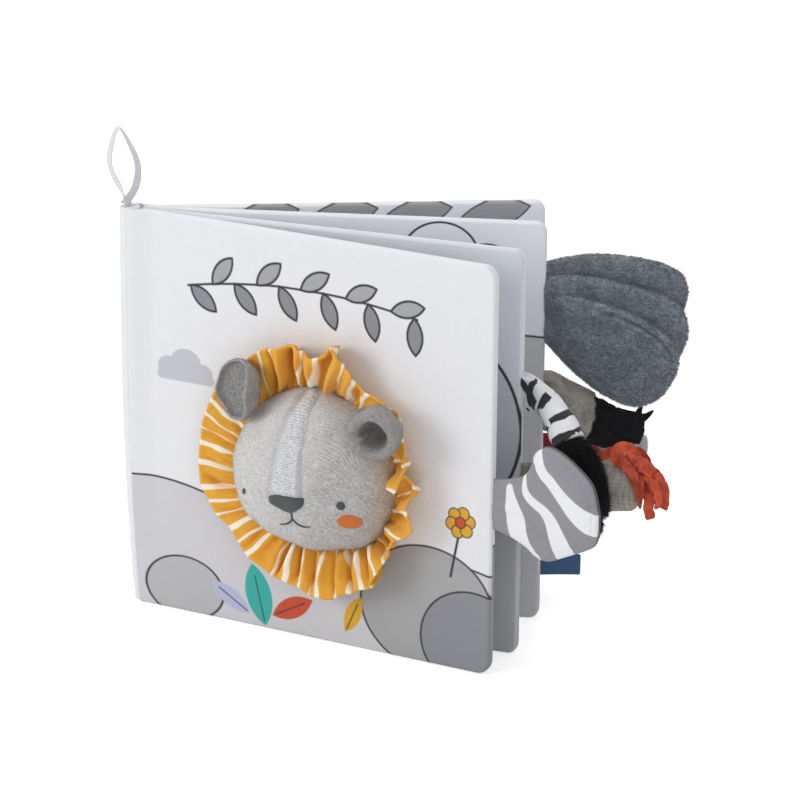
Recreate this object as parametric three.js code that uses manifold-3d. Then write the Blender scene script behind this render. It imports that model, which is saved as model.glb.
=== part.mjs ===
// A soft cloth book for a baby: two covers and two leaves on one round cloth spine, a stuffed
// lion's head on the front cover and stuffed animal tails sewn into the fore edges.
// Millimetres, +Z up. The origin is on the spine's axis, in the plane that the book stands on.
// +X runs along the back cover to its fore edge, and the front cover opens towards -Y.
import * as THREE from 'three';
import { mergeVertices } from 'three/addons/utils/BufferGeometryUtils.js';
import Module from 'manifold-3d';

const wasm = await Module();
wasm.setup();

// Pages
const pageSide = 190;
const pageThickness = 5;
const pageCornerRadius = 7;
const clothThickness = 0.8;
const rimWidth = 1.6;
const edgeRound = 1.8;
const filmThickness = 0.3;
const fillStart = 34;
const hemStart = 16;
const hemLap = 2;

// How the pages stand, in degrees from the back cover, and how far the wedge of each page goes
const leafTwoAngle = 11.5;
const leafOneAngle = 26;
const frontCoverAngle = 35;
const closedAngle = 7;
const closedSlack = 0.8;

// Clearance between pieces that touch, and what a cut runs past the piece it cuts
const seat = 0.3;
const overrun = 2;

// Spine and hanging loop
const spineRadius = 5;
const spineClothThickness = 1;
const spineSeamHalfAngle = 4;
const loopHeight = 36;
const loopWidth = 15;
const loopLean = 2.4;
const loopRibbonWidth = 6;
const loopRibbonThickness = 1.1;

// Side label, a folded ribbon in the back cover's fore edge
const labelLength = 18;
const labelHeight = 10;
const labelPly = 0.6;
const labelBottom = 7;

// Lion's head on the front cover; x and z of its middle are measured on the cover
const faceX = 102.5;
const faceZ = 84;
const headWidth = 83;
const headHeight = 76;
const headDepth = 27;
const headSkin = 1.2;
const muzzleRise = 3.2;
const muzzleSpread = 14;
const muzzleDrop = 13;
const stripeCrownWidth = 8;
const stripeFootWidth = 17;
const noseWidth = 18.5;
const noseHeight = 7.6;
const noseDrop = 6.4;
const patchThickness = 0.7;
const mouthWidth = 16;
const mouthStem = 4;
const mouthThread = 1;
const eyeSpacing = 48.6;
const eyeDrop = 8.2;
const eyeRadius = 2;
const cheekSpacing = 56;
const cheekDrop = 16.5;
const cheekWidth = 10;
const cheekHeight = 7;
const earAngle = 45;
const earReach = 8.2;
const earStand = 19.6;
const earWidth = 25;
const earHeight = 28;
const earDepth = 9;
const earWall = 2.4;
const earTurn = 24;
const earNod = 24;
const maneReach = 17;
const maneFlare = 10;
const maneSetback = 1.6;
const maneThickness = 1.3;
const maneFolds = 18;
const maneFoldDepth = 2.6;

// Tails. A tail turns about a line that stands this far outside its page's edge. Its sewn root
// is rounded about that line and reaches back towards the edge.
const rootClearance = 1.2;
const rootThickness = 2.2;
const rootRoundShare = 0.71;
const sleeveWall = 0.6;

const plumeLobeThickness = 7;
const plumeLobeStep = 7.5;
const plumeRootStep = 2.6;
const plumeBackSetback = 0.8;
const plumeRootHeight = 20;
const plumeFrontLength = 59;
const plumeFrontWidth = 43;
const plumeFrontRootZ = 143.5;
const plumeFrontDroop = 27;
const plumeMiddleLength = 65;
const plumeMiddleWidth = 41;
const plumeMiddleRootZ = 155;
const plumeMiddleDroop = 16;
const plumeBackLength = 63;
const plumeBackWidth = 38;
const plumeBackRootZ = 163;
const plumeBackDroop = 11;

const greyTailZ = 106;
const greyTailLength = 23;
const greyTailDroop = 7;
const greyTailRootHeight = 27;
const greyTailEndHeight = 22;
const greyTailThickness = 9;
const feltThickness = 1.6;
const greyTuftLength = 25;
const greyTuftHeight = 20;

const zebraTailZ = 124.5;
const zebraTailLength = 24;
const zebraTailDroop = 20;
const zebraTailForward = 13.5;
const zebraTailRootHeight = 18;
const zebraTailDiameter = 13;
const furTuftLength = 40;
const furTuftReach = 9;
const furTuftWidth = 18;
const furTuftThickness = 11;

const linenTailZ = 78;
const linenTailLength = 49;
const linenTailRise = 7;
const linenTailRootHeight = 26;
const linenTailEndHeight = 23;
const linenTailThickness = 12;
const fringeLength = 18.5;
const fringeHeight = 25.8;

const paddleLength = 52.5;
const paddleHeight = 54;
const paddleZ = 84.5;
const paddleThickness = 8;

const redTailZ = 70;
const redTailLength = 29;
const redTailHeight = 15;
const redTailThickness = 11;
const redTipLength = 21;
const redTipHeight = 17;

// Facets
const cornerSteps = 4;
const roundSteps = 24;
const sweepSteps = 8;
const sweepSides = 12;
const tipShare = 0.3;

const halfWedge = THREE.MathUtils.degToRad((closedAngle - closedSlack) / 2);
const fullThicknessAt = pageThickness / 2 / Math.tan(halfWedge);
const pageHalf = (x) => Math.min(pageThickness / 2, x * Math.tan(halfWedge));

// Joins rings of points, each ring alike in count, into one closed skin. The ends are closed
// by a fan to the ring's middle or by a ladder of strips, and 'loop' joins the last to the first.
function skin(rings, ends = 'fan') {
  const count = rings[0].length;
  const points = rings.flat();
  const faces = [];
  const quad = (a, b, c, d) => faces.push(a, b, c, a, c, d);
  const spans = ends === 'loop' ? rings.length : rings.length - 1;
  for (let r = 0; r < spans; r++) {
    const low = r * count;
    const high = ((r + 1) % rings.length) * count;
    for (let i = 0; i < count; i++) {
      const next = (i + 1) % count;
      quad(low + i, low + next, high + next, high + i);
    }
  }
  const close = (ring, start, flip) => {
    const put = (a, b, c) => (flip ? faces.push(a, c, b) : faces.push(a, b, c));
    if (ends === 'ladder') {
      for (let i = 0; i < count / 2 - 1; i++) {
        put(start + i, start + count - 1 - i, start + count - 2 - i);
        put(start + i, start + count - 2 - i, start + i + 1);
      }
      return;
    }
    const middle = ring.reduce((sum, p) => sum.add(p), new THREE.Vector3()).divideScalar(count);
    points.push(middle);
    for (let i = 0; i < count; i++) put(points.length - 1, start + (i + 1) % count, start + i);
  };
  if (ends !== 'loop') {
    close(rings[0], 0, false);
    close(rings.at(-1), (rings.length - 1) * count, true);
  }
  const geometry = new THREE.BufferGeometry().setFromPoints(points);
  geometry.setIndex(faces);
  return outward(geometry);
}

// Turns the faces round where they point inwards, which the sign of the volume tells.
function outward(geometry) {
  const at = geometry.attributes.position;
  const index = geometry.index.array;
  const [a, b, c] = [new THREE.Vector3(), new THREE.Vector3(), new THREE.Vector3()];
  let volume = 0;
  for (let i = 0; i < index.length; i += 3) {
    a.fromBufferAttribute(at, index[i]);
    b.fromBufferAttribute(at, index[i + 1]);
    c.fromBufferAttribute(at, index[i + 2]);
    volume += a.dot(b.cross(c));
  }
  if (volume < 0) {
    for (let i = 0; i < index.length; i += 3) [index[i], index[i + 1]] = [index[i + 1], index[i]];
  }
  return geometry;
}

// A closed geometry as a solid that can be joined and cut, and back again.
function solid(geometry) {
  const bare = geometry.clone();
  bare.deleteAttribute('normal');
  bare.deleteAttribute('uv');
  const merged = mergeVertices(bare);
  return new wasm.Manifold(new wasm.Mesh({
    numProp: 3,
    vertProperties: new Float32Array(merged.attributes.position.array),
    triVerts: new Uint32Array(merged.index.array),
  }));
}

function fromSolid(body) {
  const mesh = body.getMesh();
  const geometry = new THREE.BufferGeometry();
  geometry.setAttribute('position', new THREE.BufferAttribute(mesh.vertProperties, 3));
  geometry.setIndex(new THREE.BufferAttribute(mesh.triVerts, 1));
  return geometry;
}

function piece(name, geometry, color, roughness = 0.9) {
  const shaded = geometry.index ? geometry.toNonIndexed() : geometry;
  shaded.computeVertexNormals();
  const material = new THREE.MeshStandardMaterial({ color, roughness, metalness: 0 });
  const mesh = new THREE.Mesh(shaded, material);
  mesh.name = name;
  return mesh;
}

// An outline in x and z, given as [x, z] pairs, pushed through from y = near to y = far.
function slab(outline, near, far) {
  const shape = new THREE.Shape(outline.map(([x, z]) => new THREE.Vector2(x, z)));
  const geometry = new THREE.ExtrudeGeometry(shape, { depth: far - near, bevelEnabled: false });
  return geometry.rotateX(Math.PI / 2).translate(0, far, 0);
}

// An outline in plan, given as [x, y] pairs, raised from z = low to z = high.
function column(outline, low, high) {
  const shape = new THREE.Shape(outline.map(([x, y]) => new THREE.Vector2(x, y)));
  const geometry = new THREE.ExtrudeGeometry(shape, { depth: high - low, bevelEnabled: false });
  return geometry.translate(0, 0, low);
}

// One ring round a page: it starts at x = left, lies inset from the page's outline, and its
// depth comes from the function y. The upper half mirrors the lower, so a ladder can close it.
function pageRing(left, inset, y) {
  const radius = pageCornerRadius - inset;
  const right = pageSide - inset;
  const lower = [[left, inset], [fullThicknessAt, inset]];
  for (let i = 0; i <= cornerSteps; i++) {
    const turn = Math.PI / 2 * i / cornerSteps;
    lower.push([right - radius + radius * Math.sin(turn), inset + radius - radius * Math.cos(turn)]);
  }
  const upper = lower.map(([x, z]) => [x, pageSide - z]).reverse();
  return [...lower, ...upper].map(([x, z]) => new THREE.Vector3(x, y(x), z));
}

// One cloth of a page, a shallow tray that meets the other cloth at the seam round the rim.
// side is -1 for the cloth in front and +1 for the one behind.
function pageCloth(side) {
  const rimShare = 0.45;
  const shoulderShare = 0.82;
  const shoulderInset = edgeRound / 4;
  const inner = [
    pageRing(fillStart, rimWidth, (x) => side * (pageHalf(x) - clothThickness)),
    pageRing(fillStart, rimWidth, () => side * seat / 2),
  ];
  const outer = [
    pageRing(hemStart, 0, () => side * seat / 2),
    pageRing(hemStart, 0, (x) => side * rimShare * pageHalf(x)),
    pageRing(hemStart + shoulderInset, shoulderInset, (x) => side * shoulderShare * pageHalf(x)),
    pageRing(hemStart + edgeRound, edgeRound, (x) => side * pageHalf(x)),
  ];
  return skin([...inner, ...outer], 'ladder');
}

// The back cloth runs on as the hinge strip, a thin wedge that reaches in to the spine.
function backCloth() {
  const inner = spineRadius + seat;
  const hem = hemStart - seat;
  const lap = hemStart + hemLap;
  const lapShare = 0.5;
  const strip = column([
    [inner, -pageHalf(inner)], [hem, -pageHalf(hem)], [hem, seat / 2],
    [lap, seat / 2], [lap, pageHalf(lap) * lapShare], [inner, pageHalf(inner)],
  ], 0, pageSide);
  return fromSolid(solid(pageCloth(1)).add(solid(strip)));
}

// A flat filling inside a page, between two depths that follow the page's thickness.
function pageFilling(near, far) {
  const inset = rimWidth + seat;
  const left = fillStart + seat;
  return skin([pageRing(left, inset, near), pageRing(left, inset, far)], 'ladder');
}

function pageGroup(name, angle, colors) {
  const group = new THREE.Group();
  group.rotation.z = -THREE.MathUtils.degToRad(angle);
  const room = (x) => pageHalf(x) - clothThickness - seat;
  const filmBack = (x) => -room(x) + filmThickness;
  group.add(
    piece(`${name}_front_cloth`, pageCloth(-1), colors[0]),
    piece(`${name}_back_cloth`, backCloth(), colors[1]),
    piece(`${name}_crinkle_film`, pageFilling((x) => -room(x), filmBack), 0xe9eef2, 0.35),
    piece(`${name}_wadding`, pageFilling((x) => filmBack(x) + seat, room), 0xf4f3ef),
  );
  return group;
}

// The spine's wrap is a C in plan whose edges meet in a seam at the middle of the fan of pages.
function spineWrap() {
  const mouth = -THREE.MathUtils.degToRad(frontCoverAngle / 2);
  const half = THREE.MathUtils.degToRad(spineSeamHalfAngle);
  const arc = (radius, from, to) => Array.from({ length: roundSteps + 1 }, (_, i) => {
    const turn = from + (to - from) * i / roundSteps;
    return [radius * Math.cos(turn), radius * Math.sin(turn)];
  });
  const start = mouth + half;
  const end = mouth - half + 2 * Math.PI;
  const outline = [...arc(spineRadius, start, end),
    ...arc(spineRadius - spineClothThickness, end, start)];
  return column(outline, 0, pageSide);
}

function spineCore() {
  const radius = spineRadius - spineClothThickness - seat;
  const profile = [[0, 0], [radius, 0], [radius, pageSide], [0, pageSide]];
  const lathe = new THREE.LatheGeometry(profile.map(([r, h]) => new THREE.Vector2(r, h)), roundSteps);
  return lathe.rotateX(Math.PI / 2);
}

// The hanging loop is a ribbon stood on the spine: up one side of a pointed oval, down the other.
function hangingLoop() {
  const halfSideShares = [[0.05, 0], [0.2, 0.14], [0.45, 0.34], [0.5, 0.56], [0.34, 0.8], [0.08, 0.97]];
  const leg = (sign) => halfSideShares.map(([out, up]) => new THREE.Vector3(
    sign * out * loopWidth - loopLean * Math.sin(Math.PI / 2 * up), 0, up * loopHeight));
  const top = new THREE.Vector3(-loopLean, 0, loopHeight - loopRibbonThickness / 2);
  const path = new THREE.CatmullRomCurve3([...leg(-1), top, ...leg(1).reverse()]);
  const rings = [];
  for (let i = 0; i <= roundSteps; i++) {
    const at = path.getPoint(i / roundSteps);
    const along = path.getTangent(i / roundSteps);
    const out = new THREE.Vector3(along.z, 0, -along.x).multiplyScalar(loopRibbonThickness / 2);
    const wide = new THREE.Vector3(0, loopRibbonWidth / 2, 0);
    rings.push([at.clone().add(out).add(wide), at.clone().sub(out).add(wide),
      at.clone().sub(out).sub(wide), at.clone().add(out).sub(wide)]);
  }
  const stand = solid(skin(rings));
  const below = column([[-loopWidth, -loopWidth], [loopWidth, -loopWidth], [loopWidth, loopWidth],
    [-loopWidth, loopWidth]], -loopHeight, 0);
  return fromSolid(stand.subtract(solid(below))).translate(0, 0, pageSide + seat);
}

// The label is a ribbon folded on itself, a hairpin in plan with the fold at its outer end.
function sideLabel() {
  const half = labelPly + seat / 2;
  const foldSteps = 6;
  const outline = [];
  const fold = (radius, from, to) => {
    for (let i = 0; i <= foldSteps; i++) {
      const turn = from + (to - from) * i / foldSteps;
      outline.push([labelLength - half + radius * Math.cos(turn), radius * Math.sin(turn)]);
    }
  };
  outline.push([0, -half]);
  fold(half, -Math.PI / 2, Math.PI / 2);
  outline.push([0, half], [0, seat / 2]);
  fold(seat / 2, Math.PI / 2, -Math.PI / 2);
  outline.push([0, -seat / 2]);
  return column(outline, labelBottom, labelBottom + labelHeight).translate(pageSide + seat, 0, 0);
}

// The head's outline seen from the front: a round that narrows a little towards the crown.
function headOutline(turn, grow) {
  const crownNarrowing = 0.1;
  const z = (headHeight / 2 + grow) * Math.sin(turn);
  const narrow = 1 - crownNarrowing * Math.max(0, Math.sin(turn));
  return [(headWidth / 2 + grow) * Math.cos(turn) * narrow, z];
}

// The head as a dome over the cover, grown or shrunk all round, with the muzzle's rise added.
// It starts at y = -base and its crown reaches headDepth and more.
function headDome(grow, base = 0) {
  const levels = 9;
  const flatCrown = 0.4;
  const roundness = 0.85;
  const rings = [];
  for (let level = 0; level <= levels; level++) {
    const rise = Math.PI / 2 * level / (levels + flatCrown);
    const draw = Math.cos(rise) ** roundness;
    const ring = [];
    for (let i = 0; i < roundSteps; i++) {
      const [x, z] = headOutline(2 * Math.PI * i / roundSteps, grow).map((size) => size * draw);
      const off = (x * x + (z + muzzleDrop) ** 2) / (2 * muzzleSpread ** 2);
      const out = (headDepth + grow) * Math.sin(rise) ** roundness
        + muzzleRise * Math.exp(-off) * Math.sin(rise);
      ring.push(new THREE.Vector3(x, level ? -out : -base, z));
    }
    rings.push(ring);
  }
  return skin(rings);
}

// Everything between two offsets of the head's surface that lies behind a flat outline.
function headPatch(outline, low, high) {
  const through = solid(slab(outline, -2 * headDepth, 0));
  return fromSolid(solid(headDome(high)).subtract(solid(headDome(low, -overrun))).intersect(through));
}

function oval(x, z, width, height) {
  const steps = 16;
  return Array.from({ length: steps }, (_, i) => {
    const turn = 2 * Math.PI * i / steps;
    return [x + width / 2 * Math.cos(turn), z + height / 2 * Math.sin(turn)];
  });
}

// A thread drawn along a curve in x and z, as an outline of the given width.
function thread(curve, width) {
  const steps = 8;
  const sides = [[], []];
  for (let i = 0; i <= steps; i++) {
    const at = curve.getPoint(i / steps);
    const along = curve.getTangent(i / steps);
    sides[0].push([at.x - along.y * width / 2, at.y + along.x * width / 2]);
    sides[1].unshift([at.x + along.y * width / 2, at.y - along.x * width / 2]);
  }
  return [...sides[0], ...sides[1]];
}

function lionSkins() {
  const shell = solid(headDome(0)).subtract(solid(headDome(-headSkin, -overrun)));
  const far = headWidth;
  const stripeOutline = (grow) => [
    [-stripeCrownWidth / 2 - grow, headHeight], [stripeCrownWidth / 2 + grow, headHeight],
    [stripeCrownWidth / 2 + grow, headHeight / 2],
    [stripeFootWidth / 2 + grow, -noseDrop], [0, -noseDrop - noseHeight - grow],
    [-stripeFootWidth / 2 - grow, -noseDrop], [-stripeCrownWidth / 2 - grow, headHeight / 2],
  ];
  const through = (outline) => solid(slab(outline, -2 * headDepth, overrun));
  const cheekSide = (sign) => {
    const inner = sign * seat / 2;
    const half = through([[inner, -far], [sign * far, -far], [sign * far, far], [inner, far]]);
    return fromSolid(shell.intersect(half).subtract(through(stripeOutline(seat))));
  };
  return { left: cheekSide(-1), right: cheekSide(1),
    stripe: fromSolid(shell.intersect(through(stripeOutline(0)))) };
}

// An ear is a shallow cup of cloth that leans on the head in front of the mane. Its middle
// stands outside the head's outline, so it follows the head's size.
function lionEar(side) {
  const cup = (inset) => {
    const levels = 5;
    const flatCrown = 0.5;
    const rings = [];
    for (let level = 0; level <= levels; level++) {
      const rise = Math.PI / 2 * level / (levels + flatCrown);
      const ring = [];
      for (let i = 0; i < roundSteps / 2; i++) {
        const turn = 4 * Math.PI * i / roundSteps;
        ring.push(new THREE.Vector3(
          (earWidth / 2 - inset) * Math.cos(rise) * Math.cos(turn),
          (earDepth - inset) * Math.sin(rise) - (inset && !level ? overrun : 0),
          (earHeight / 2 - inset) * Math.cos(rise) * Math.sin(turn)));
      }
      rings.push(ring);
    }
    return solid(skin(rings));
  };
  const geometry = fromSolid(cup(0).subtract(cup(earWall)));
  geometry.rotateX(THREE.MathUtils.degToRad(earNod));
  geometry.rotateZ(-side * THREE.MathUtils.degToRad(earTurn));
  const [x, z] = headOutline(THREE.MathUtils.degToRad(earAngle), earReach);
  geometry.translate(side * x, -earStand, z);
  return fromSolid(solid(geometry).subtract(solid(headDome(seat, -overrun))));
}

// The mane is a gathered ruffle: it starts at the head's foot and flares forward as it widens,
// and its folds grow deeper towards the free edge.
function lionMane() {
  const rowShares = [0, 0.4, 0.75, 1];
  const slowWaveShare = 0.35;
  const flarePower = 1.2;
  const stepsPerFold = 6;
  const count = maneFolds * stepsPerFold;
  const rings = [];
  for (let i = 0; i < count; i++) {
    const turn = 2 * Math.PI * i / count;
    const wave = Math.cos(maneFolds * turn) + slowWaveShare * Math.cos(2 * turn);
    const row = (share, side) => {
      const [x, z] = headOutline(turn, seat + maneReach * share);
      const out = maneSetback + maneFlare * share ** flarePower + maneFoldDepth * share * wave
        + side * maneThickness / 2;
      return new THREE.Vector3(x, -out, z);
    };
    rings.push([...rowShares.map((share) => row(share, -1)),
      ...rowShares.map((share) => row(share, 1)).reverse()]);
  }
  return skin(rings, 'loop');
}

function lionGroup() {
  const fur = 0xa9a7a6;
  const dark = 0x4c5050;
  const group = new THREE.Group();
  group.position.set(faceX, -pageThickness / 2 - seat, faceZ);
  const skins = lionSkins();
  const top = seat + patchThickness;
  const noseShares = [[-0.5, 0], [-0.2, 0.06], [0.2, 0.06], [0.5, 0], [0.44, -0.42], [0.14, -0.94],
    [0, -1], [-0.14, -0.94], [-0.44, -0.42]];
  const nose = noseShares.map(([x, z]) => [x * noseWidth, z * noseHeight - noseDrop]);
  const lipZ = -noseDrop - noseHeight - mouthStem;
  const lip = (sign) => new THREE.QuadraticBezierCurve(
    new THREE.Vector2(0, lipZ), new THREE.Vector2(sign * mouthWidth / 4, lipZ - mouthStem),
    new THREE.Vector2(sign * mouthWidth / 2, lipZ - mouthStem / 2));
  const stem = new THREE.LineCurve(new THREE.Vector2(0, -noseDrop - noseHeight - 2 * seat),
    new THREE.Vector2(0, lipZ - mouthThread));
  const mouth = [stem, lip(-1), lip(1)]
    .map((curve) => solid(headPatch(thread(curve, mouthThread), seat, top)))
    .reduce((whole, part) => whole.add(part));
  group.add(
    piece('lion_head_left', skins.left, fur),
    piece('lion_head_right', skins.right, fur),
    piece('lion_forehead_stripe', skins.stripe, 0xe8e8ea),
    piece('lion_head_stuffing', headDome(-headSkin - seat), 0xf4f3ef),
    piece('lion_nose', headPatch(nose, seat, top), dark),
    piece('lion_mouth_stitching', fromSolid(mouth), dark),
    piece('lion_mane_ruffle', lionMane(), 0xe3a22f),
  );
  for (const [name, side] of [['left', -1], ['right', 1]]) {
    const eye = oval(side * eyeSpacing / 2, -eyeDrop, 2 * eyeRadius, 2 * eyeRadius);
    const cheek = oval(side * cheekSpacing / 2, -cheekDrop, cheekWidth, cheekHeight);
    group.add(
      piece(`lion_eye_${name}`, headPatch(eye, seat, top), dark),
      piece(`lion_cheek_${name}`, headPatch(cheek, seat, top), 0xd9722e),
      piece(`lion_ear_${name}`, lionEar(side), fur),
    );
  }
  return group;
}

// A stuffed tail: oval sections carried along a smooth path that leaves the page straight out.
// A station holds its place, the section's full height and its full thickness. The sections
// lie at even steps, from step 'first' to step 'last', so a lining follows its cover exactly.
// The first section stands square to 'start'. A rooted tail gets its root's rounding too.
function sweep(stations, { grow = 0, first = 0, last = sweepSteps, before = 0, after = 0,
  endShift = 0, roundTip = 0, rooted = false, start = new THREE.Vector3(1, 0, 0) } = {}) {
  const path = new THREE.CatmullRomCurve3(stations.map((s) => s.at));
  const sizes = new THREE.CatmullRomCurve3(
    stations.map((s) => new THREE.Vector3(s.height / 2, s.thickness / 2, 0)));
  const rings = [];
  const ringAt = (step, shift, thickShare = 1) => {
    const t = step / sweepSteps;
    const at = path.getPoint(t);
    const along = step === 0 ? start : path.getTangent(t);
    const size = sizes.getPoint(t);
    const into = Math.max(0, (t - 1 + roundTip) / (roundTip || 1));
    const tip = Math.sqrt(Math.max(tipShare ** 2, 1 - into ** 2));
    const across = new THREE.Vector3(-along.y, along.x, 0).normalize();
    const up = new THREE.Vector3().crossVectors(along, across).normalize();
    const ring = [];
    for (let i = 0; i < sweepSides; i++) {
      const turn = 2 * Math.PI * i / sweepSides;
      ring.push(at.clone().addScaledVector(along, shift)
        .addScaledVector(up, (size.x * tip + grow) * Math.sin(turn))
        .addScaledVector(across, (size.y * tip * thickShare + grow) * Math.cos(turn)));
    }
    rings.push(ring);
  };
  if (rooted) ringAt(0, -rootThickness / 2 * rootRoundShare, rootRoundShare);
  if (before) ringAt(first, -before);
  for (let step = first; step <= last; step++) ringAt(step, step === last ? endShift : 0);
  if (after) ringAt(last, after);
  return skin(rings);
}

// A sleeve is open at the seam and, unless its tip is round, at its far end.
function sleeve(stations, roundTip = 0, rooted = true) {
  const end = roundTip ? { endShift: -sleeveWall } : { after: overrun };
  const bore = sweep(stations, { grow: -sleeveWall, before: overrun, roundTip, ...end });
  return fromSolid(solid(sweep(stations, { roundTip, rooted })).subtract(solid(bore)));
}

function stuffing(stations, roundTip = 0) {
  return sweep(stations, { grow: -sleeveWall - seat, first: 2, last: sweepSteps - 1, roundTip });
}

const place = (s, y, z) => new THREE.Vector3(s, y, z);
const endHeading = (stations) => new THREE.CatmullRomCurve3(stations.map((s) => s.at)).getTangent(1);

// One lobe of the plume: a petal that starts narrow at the seam, widens, droops and ends round.
// The lobes lie in front of each other by their order, and the one behind starts further out.
function plumeStations(length, width, rootZ, droop, order) {
  const spreadShare = 0.4;
  const droopPower = 1.2;
  const widthShares = [0, 0.55, 0.88, 1, 0.98, 0.9];
  const thickShares = [0, 0.55, 0.94, 1, 1, 0.9];
  return widthShares.map((share, i) => {
    const t = i / (widthShares.length - 1);
    const spread = Math.min(1, t / spreadShare);
    const y = order * (plumeRootStep + (plumeLobeStep - plumeRootStep) * spread);
    const setback = Math.max(0, order) * plumeBackSetback * (1 - t);
    return {
      at: place(length * t + setback, y, rootZ - droop * t ** droopPower),
      height: plumeRootHeight + (width - plumeRootHeight) * share,
      thickness: rootThickness + (plumeLobeThickness - rootThickness) * thickShares[i],
    };
  });
}

// A strip of felt: it leaves along its turn, narrows to its end and bends as it goes.
function feltStrip({ at, length, width, turn, bend, thickness }) {
  const steps = 6;
  const endNarrowing = 0.45;
  const edges = [[], []];
  let [x, z] = [0, 0];
  for (let i = 0; i <= steps; i++) {
    const t = i / steps;
    const heading = THREE.MathUtils.degToRad(turn + bend * t);
    const half = width / 2 * (1 - endNarrowing * t);
    edges[0].push([x - half * Math.sin(heading), z + half * Math.cos(heading)]);
    edges[1].unshift([x + half * Math.sin(heading), z - half * Math.cos(heading)]);
    x += length / steps * Math.cos(heading);
    z += length / steps * Math.sin(heading);
  }
  return slab([...edges[0], ...edges[1]], -thickness / 2, thickness / 2).translate(at.x, at.y, at.z);
}

// Felt strips laid over each other on a short felt band that closes the tail's end.
// A row of stripShares holds how far up the band a strip starts, its turn and its bend in
// degrees, and its length.
function feltBunch({ stations, height, length, stripShares }) {
  const [bandShare, lapShare, widthShare] = [0.25, 0.12, 0.33];
  const ply = feltThickness / 2;
  const end = stations.at(-1).at;
  const along = endHeading(stations);
  const far = length * bandShare;
  const half = stripShares.length * ply / 2;
  const band = slab([[seat, -height / 2], [far, -height / 2], [far, height / 2],
    [seat, height / 2]], -half, half);
  const whole = stripShares.reduce((bunch, [up, turn, bend, share], i) => bunch.add(solid(feltStrip({
    at: place(length * lapShare, (i - (stripShares.length - 1) / 2) * ply, up * height),
    length: length * share, width: height * widthShare, turn, bend, thickness: feltThickness,
  }))), solid(band));
  const heading = Math.atan2(along.z, along.x);
  return fromSolid(whole).rotateY(-heading).translate(end.x, end.y, end.z);
}

// The group of one tail: its own frame has x from the seam outwards and z from the floor.
function tailGroup(...pieces) {
  const group = new THREE.Group();
  group.position.x = pageSide + rootClearance;
  group.add(...pieces);
  return group;
}

function plume() {
  const grey = 0x555b61;
  const lobes = [
    ['front', plumeStations(plumeFrontLength, plumeFrontWidth, plumeFrontRootZ, plumeFrontDroop, -1)],
    ['middle', plumeStations(plumeMiddleLength, plumeMiddleWidth, plumeMiddleRootZ, plumeMiddleDroop, 0)],
    ['back', plumeStations(plumeBackLength, plumeBackWidth, plumeBackRootZ, plumeBackDroop, 1)],
  ];
  const roundTip = 0.34;
  return tailGroup(...lobes.flatMap(([name, stations]) => [
    piece(`plume_${name}_lobe`, sleeve(stations, roundTip, name === 'middle'), grey),
    piece(`plume_${name}_stuffing`, stuffing(stations, roundTip), 0xf4f3ef),
  ]));
}

// A tail whose height and place go evenly from the seam to its end.
function plainStations(length, rootZ, rise, rootHeight, endHeight, thickness, forward = 0) {
  const thickShares = [0, 0.75, 1, 1, 1];
  const forwardPower = 1.5;
  const risePower = 1.4;
  return thickShares.map((share, i) => {
    const t = i / (thickShares.length - 1);
    return {
      at: place(length * t, -forward * t ** forwardPower, rootZ + rise * t ** risePower),
      height: rootHeight + (endHeight - rootHeight) * t,
      thickness: rootThickness + (thickness - rootThickness) * share,
    };
  });
}

function greyTail() {
  const stations = plainStations(greyTailLength, greyTailZ, -greyTailDroop, greyTailRootHeight,
    greyTailEndHeight, greyTailThickness);
  const tuft = feltBunch({
    stations,
    height: greyTuftHeight,
    length: greyTuftLength,
    stripShares: [[0.22, -8, 14, 1], [0.05, -14, 10, 0.86], [-0.12, -6, -6, 0.96],
      [-0.26, -18, 8, 0.8], [0, -4, -12, 0.9]],
  });
  return tailGroup(
    piece('grey_tail_sleeve', sleeve(stations), 0x77736d),
    piece('grey_tail_stuffing', stuffing(stations), 0xf4f3ef),
    piece('grey_tail_felt_tuft', tuft, 0x17181a),
  );
}

function zebraTail() {
  const stations = plainStations(zebraTailLength, zebraTailZ, -zebraTailDroop, zebraTailRootHeight,
    zebraTailDiameter, zebraTailDiameter, zebraTailForward);
  const end = stations.at(-1).at;
  const start = endHeading(stations);
  const swellShares = [0.62, 0.95, 1, 0.9, 0.55];
  const reachPower = 0.6;
  const roundTip = 0.25;
  const tuft = swellShares.map((share, i) => {
    const t = i / (swellShares.length - 1);
    const hang = place(furTuftReach * t ** reachPower, 0, -furTuftLength * t);
    return {
      at: end.clone().addScaledVector(start, seat).add(hang),
      height: furTuftWidth * share,
      thickness: furTuftThickness * share,
    };
  });
  return tailGroup(
    piece('zebra_tail_sleeve', sleeve(stations), 0xe3e4e6),
    piece('zebra_tail_stuffing', stuffing(stations), 0xf4f3ef),
    piece('zebra_tail_fur_tuft', sweep(tuft, { roundTip, start }), 0x141416),
  );
}

function linenTail() {
  const stations = plainStations(linenTailLength, linenTailZ, linenTailRise, linenTailRootHeight,
    linenTailEndHeight, linenTailThickness);
  const fringe = feltBunch({
    stations,
    height: fringeHeight,
    length: fringeLength,
    stripShares: [[0.42, 70, -70, 0.7], [0.32, 40, -60, 0.9], [0.16, 20, -50, 1], [0, 6, -50, 1],
      [-0.15, -10, -50, 0.95], [-0.3, -25, -45, 0.9], [-0.4, -45, -30, 0.7]],
  });
  return tailGroup(
    piece('linen_tail_sleeve', sleeve(stations), 0x8f8a83),
    piece('linen_tail_stuffing', stuffing(stations), 0xf4f3ef),
    piece('linen_tail_felt_fringe', fringe, 0xd2492a),
  );
}

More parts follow.
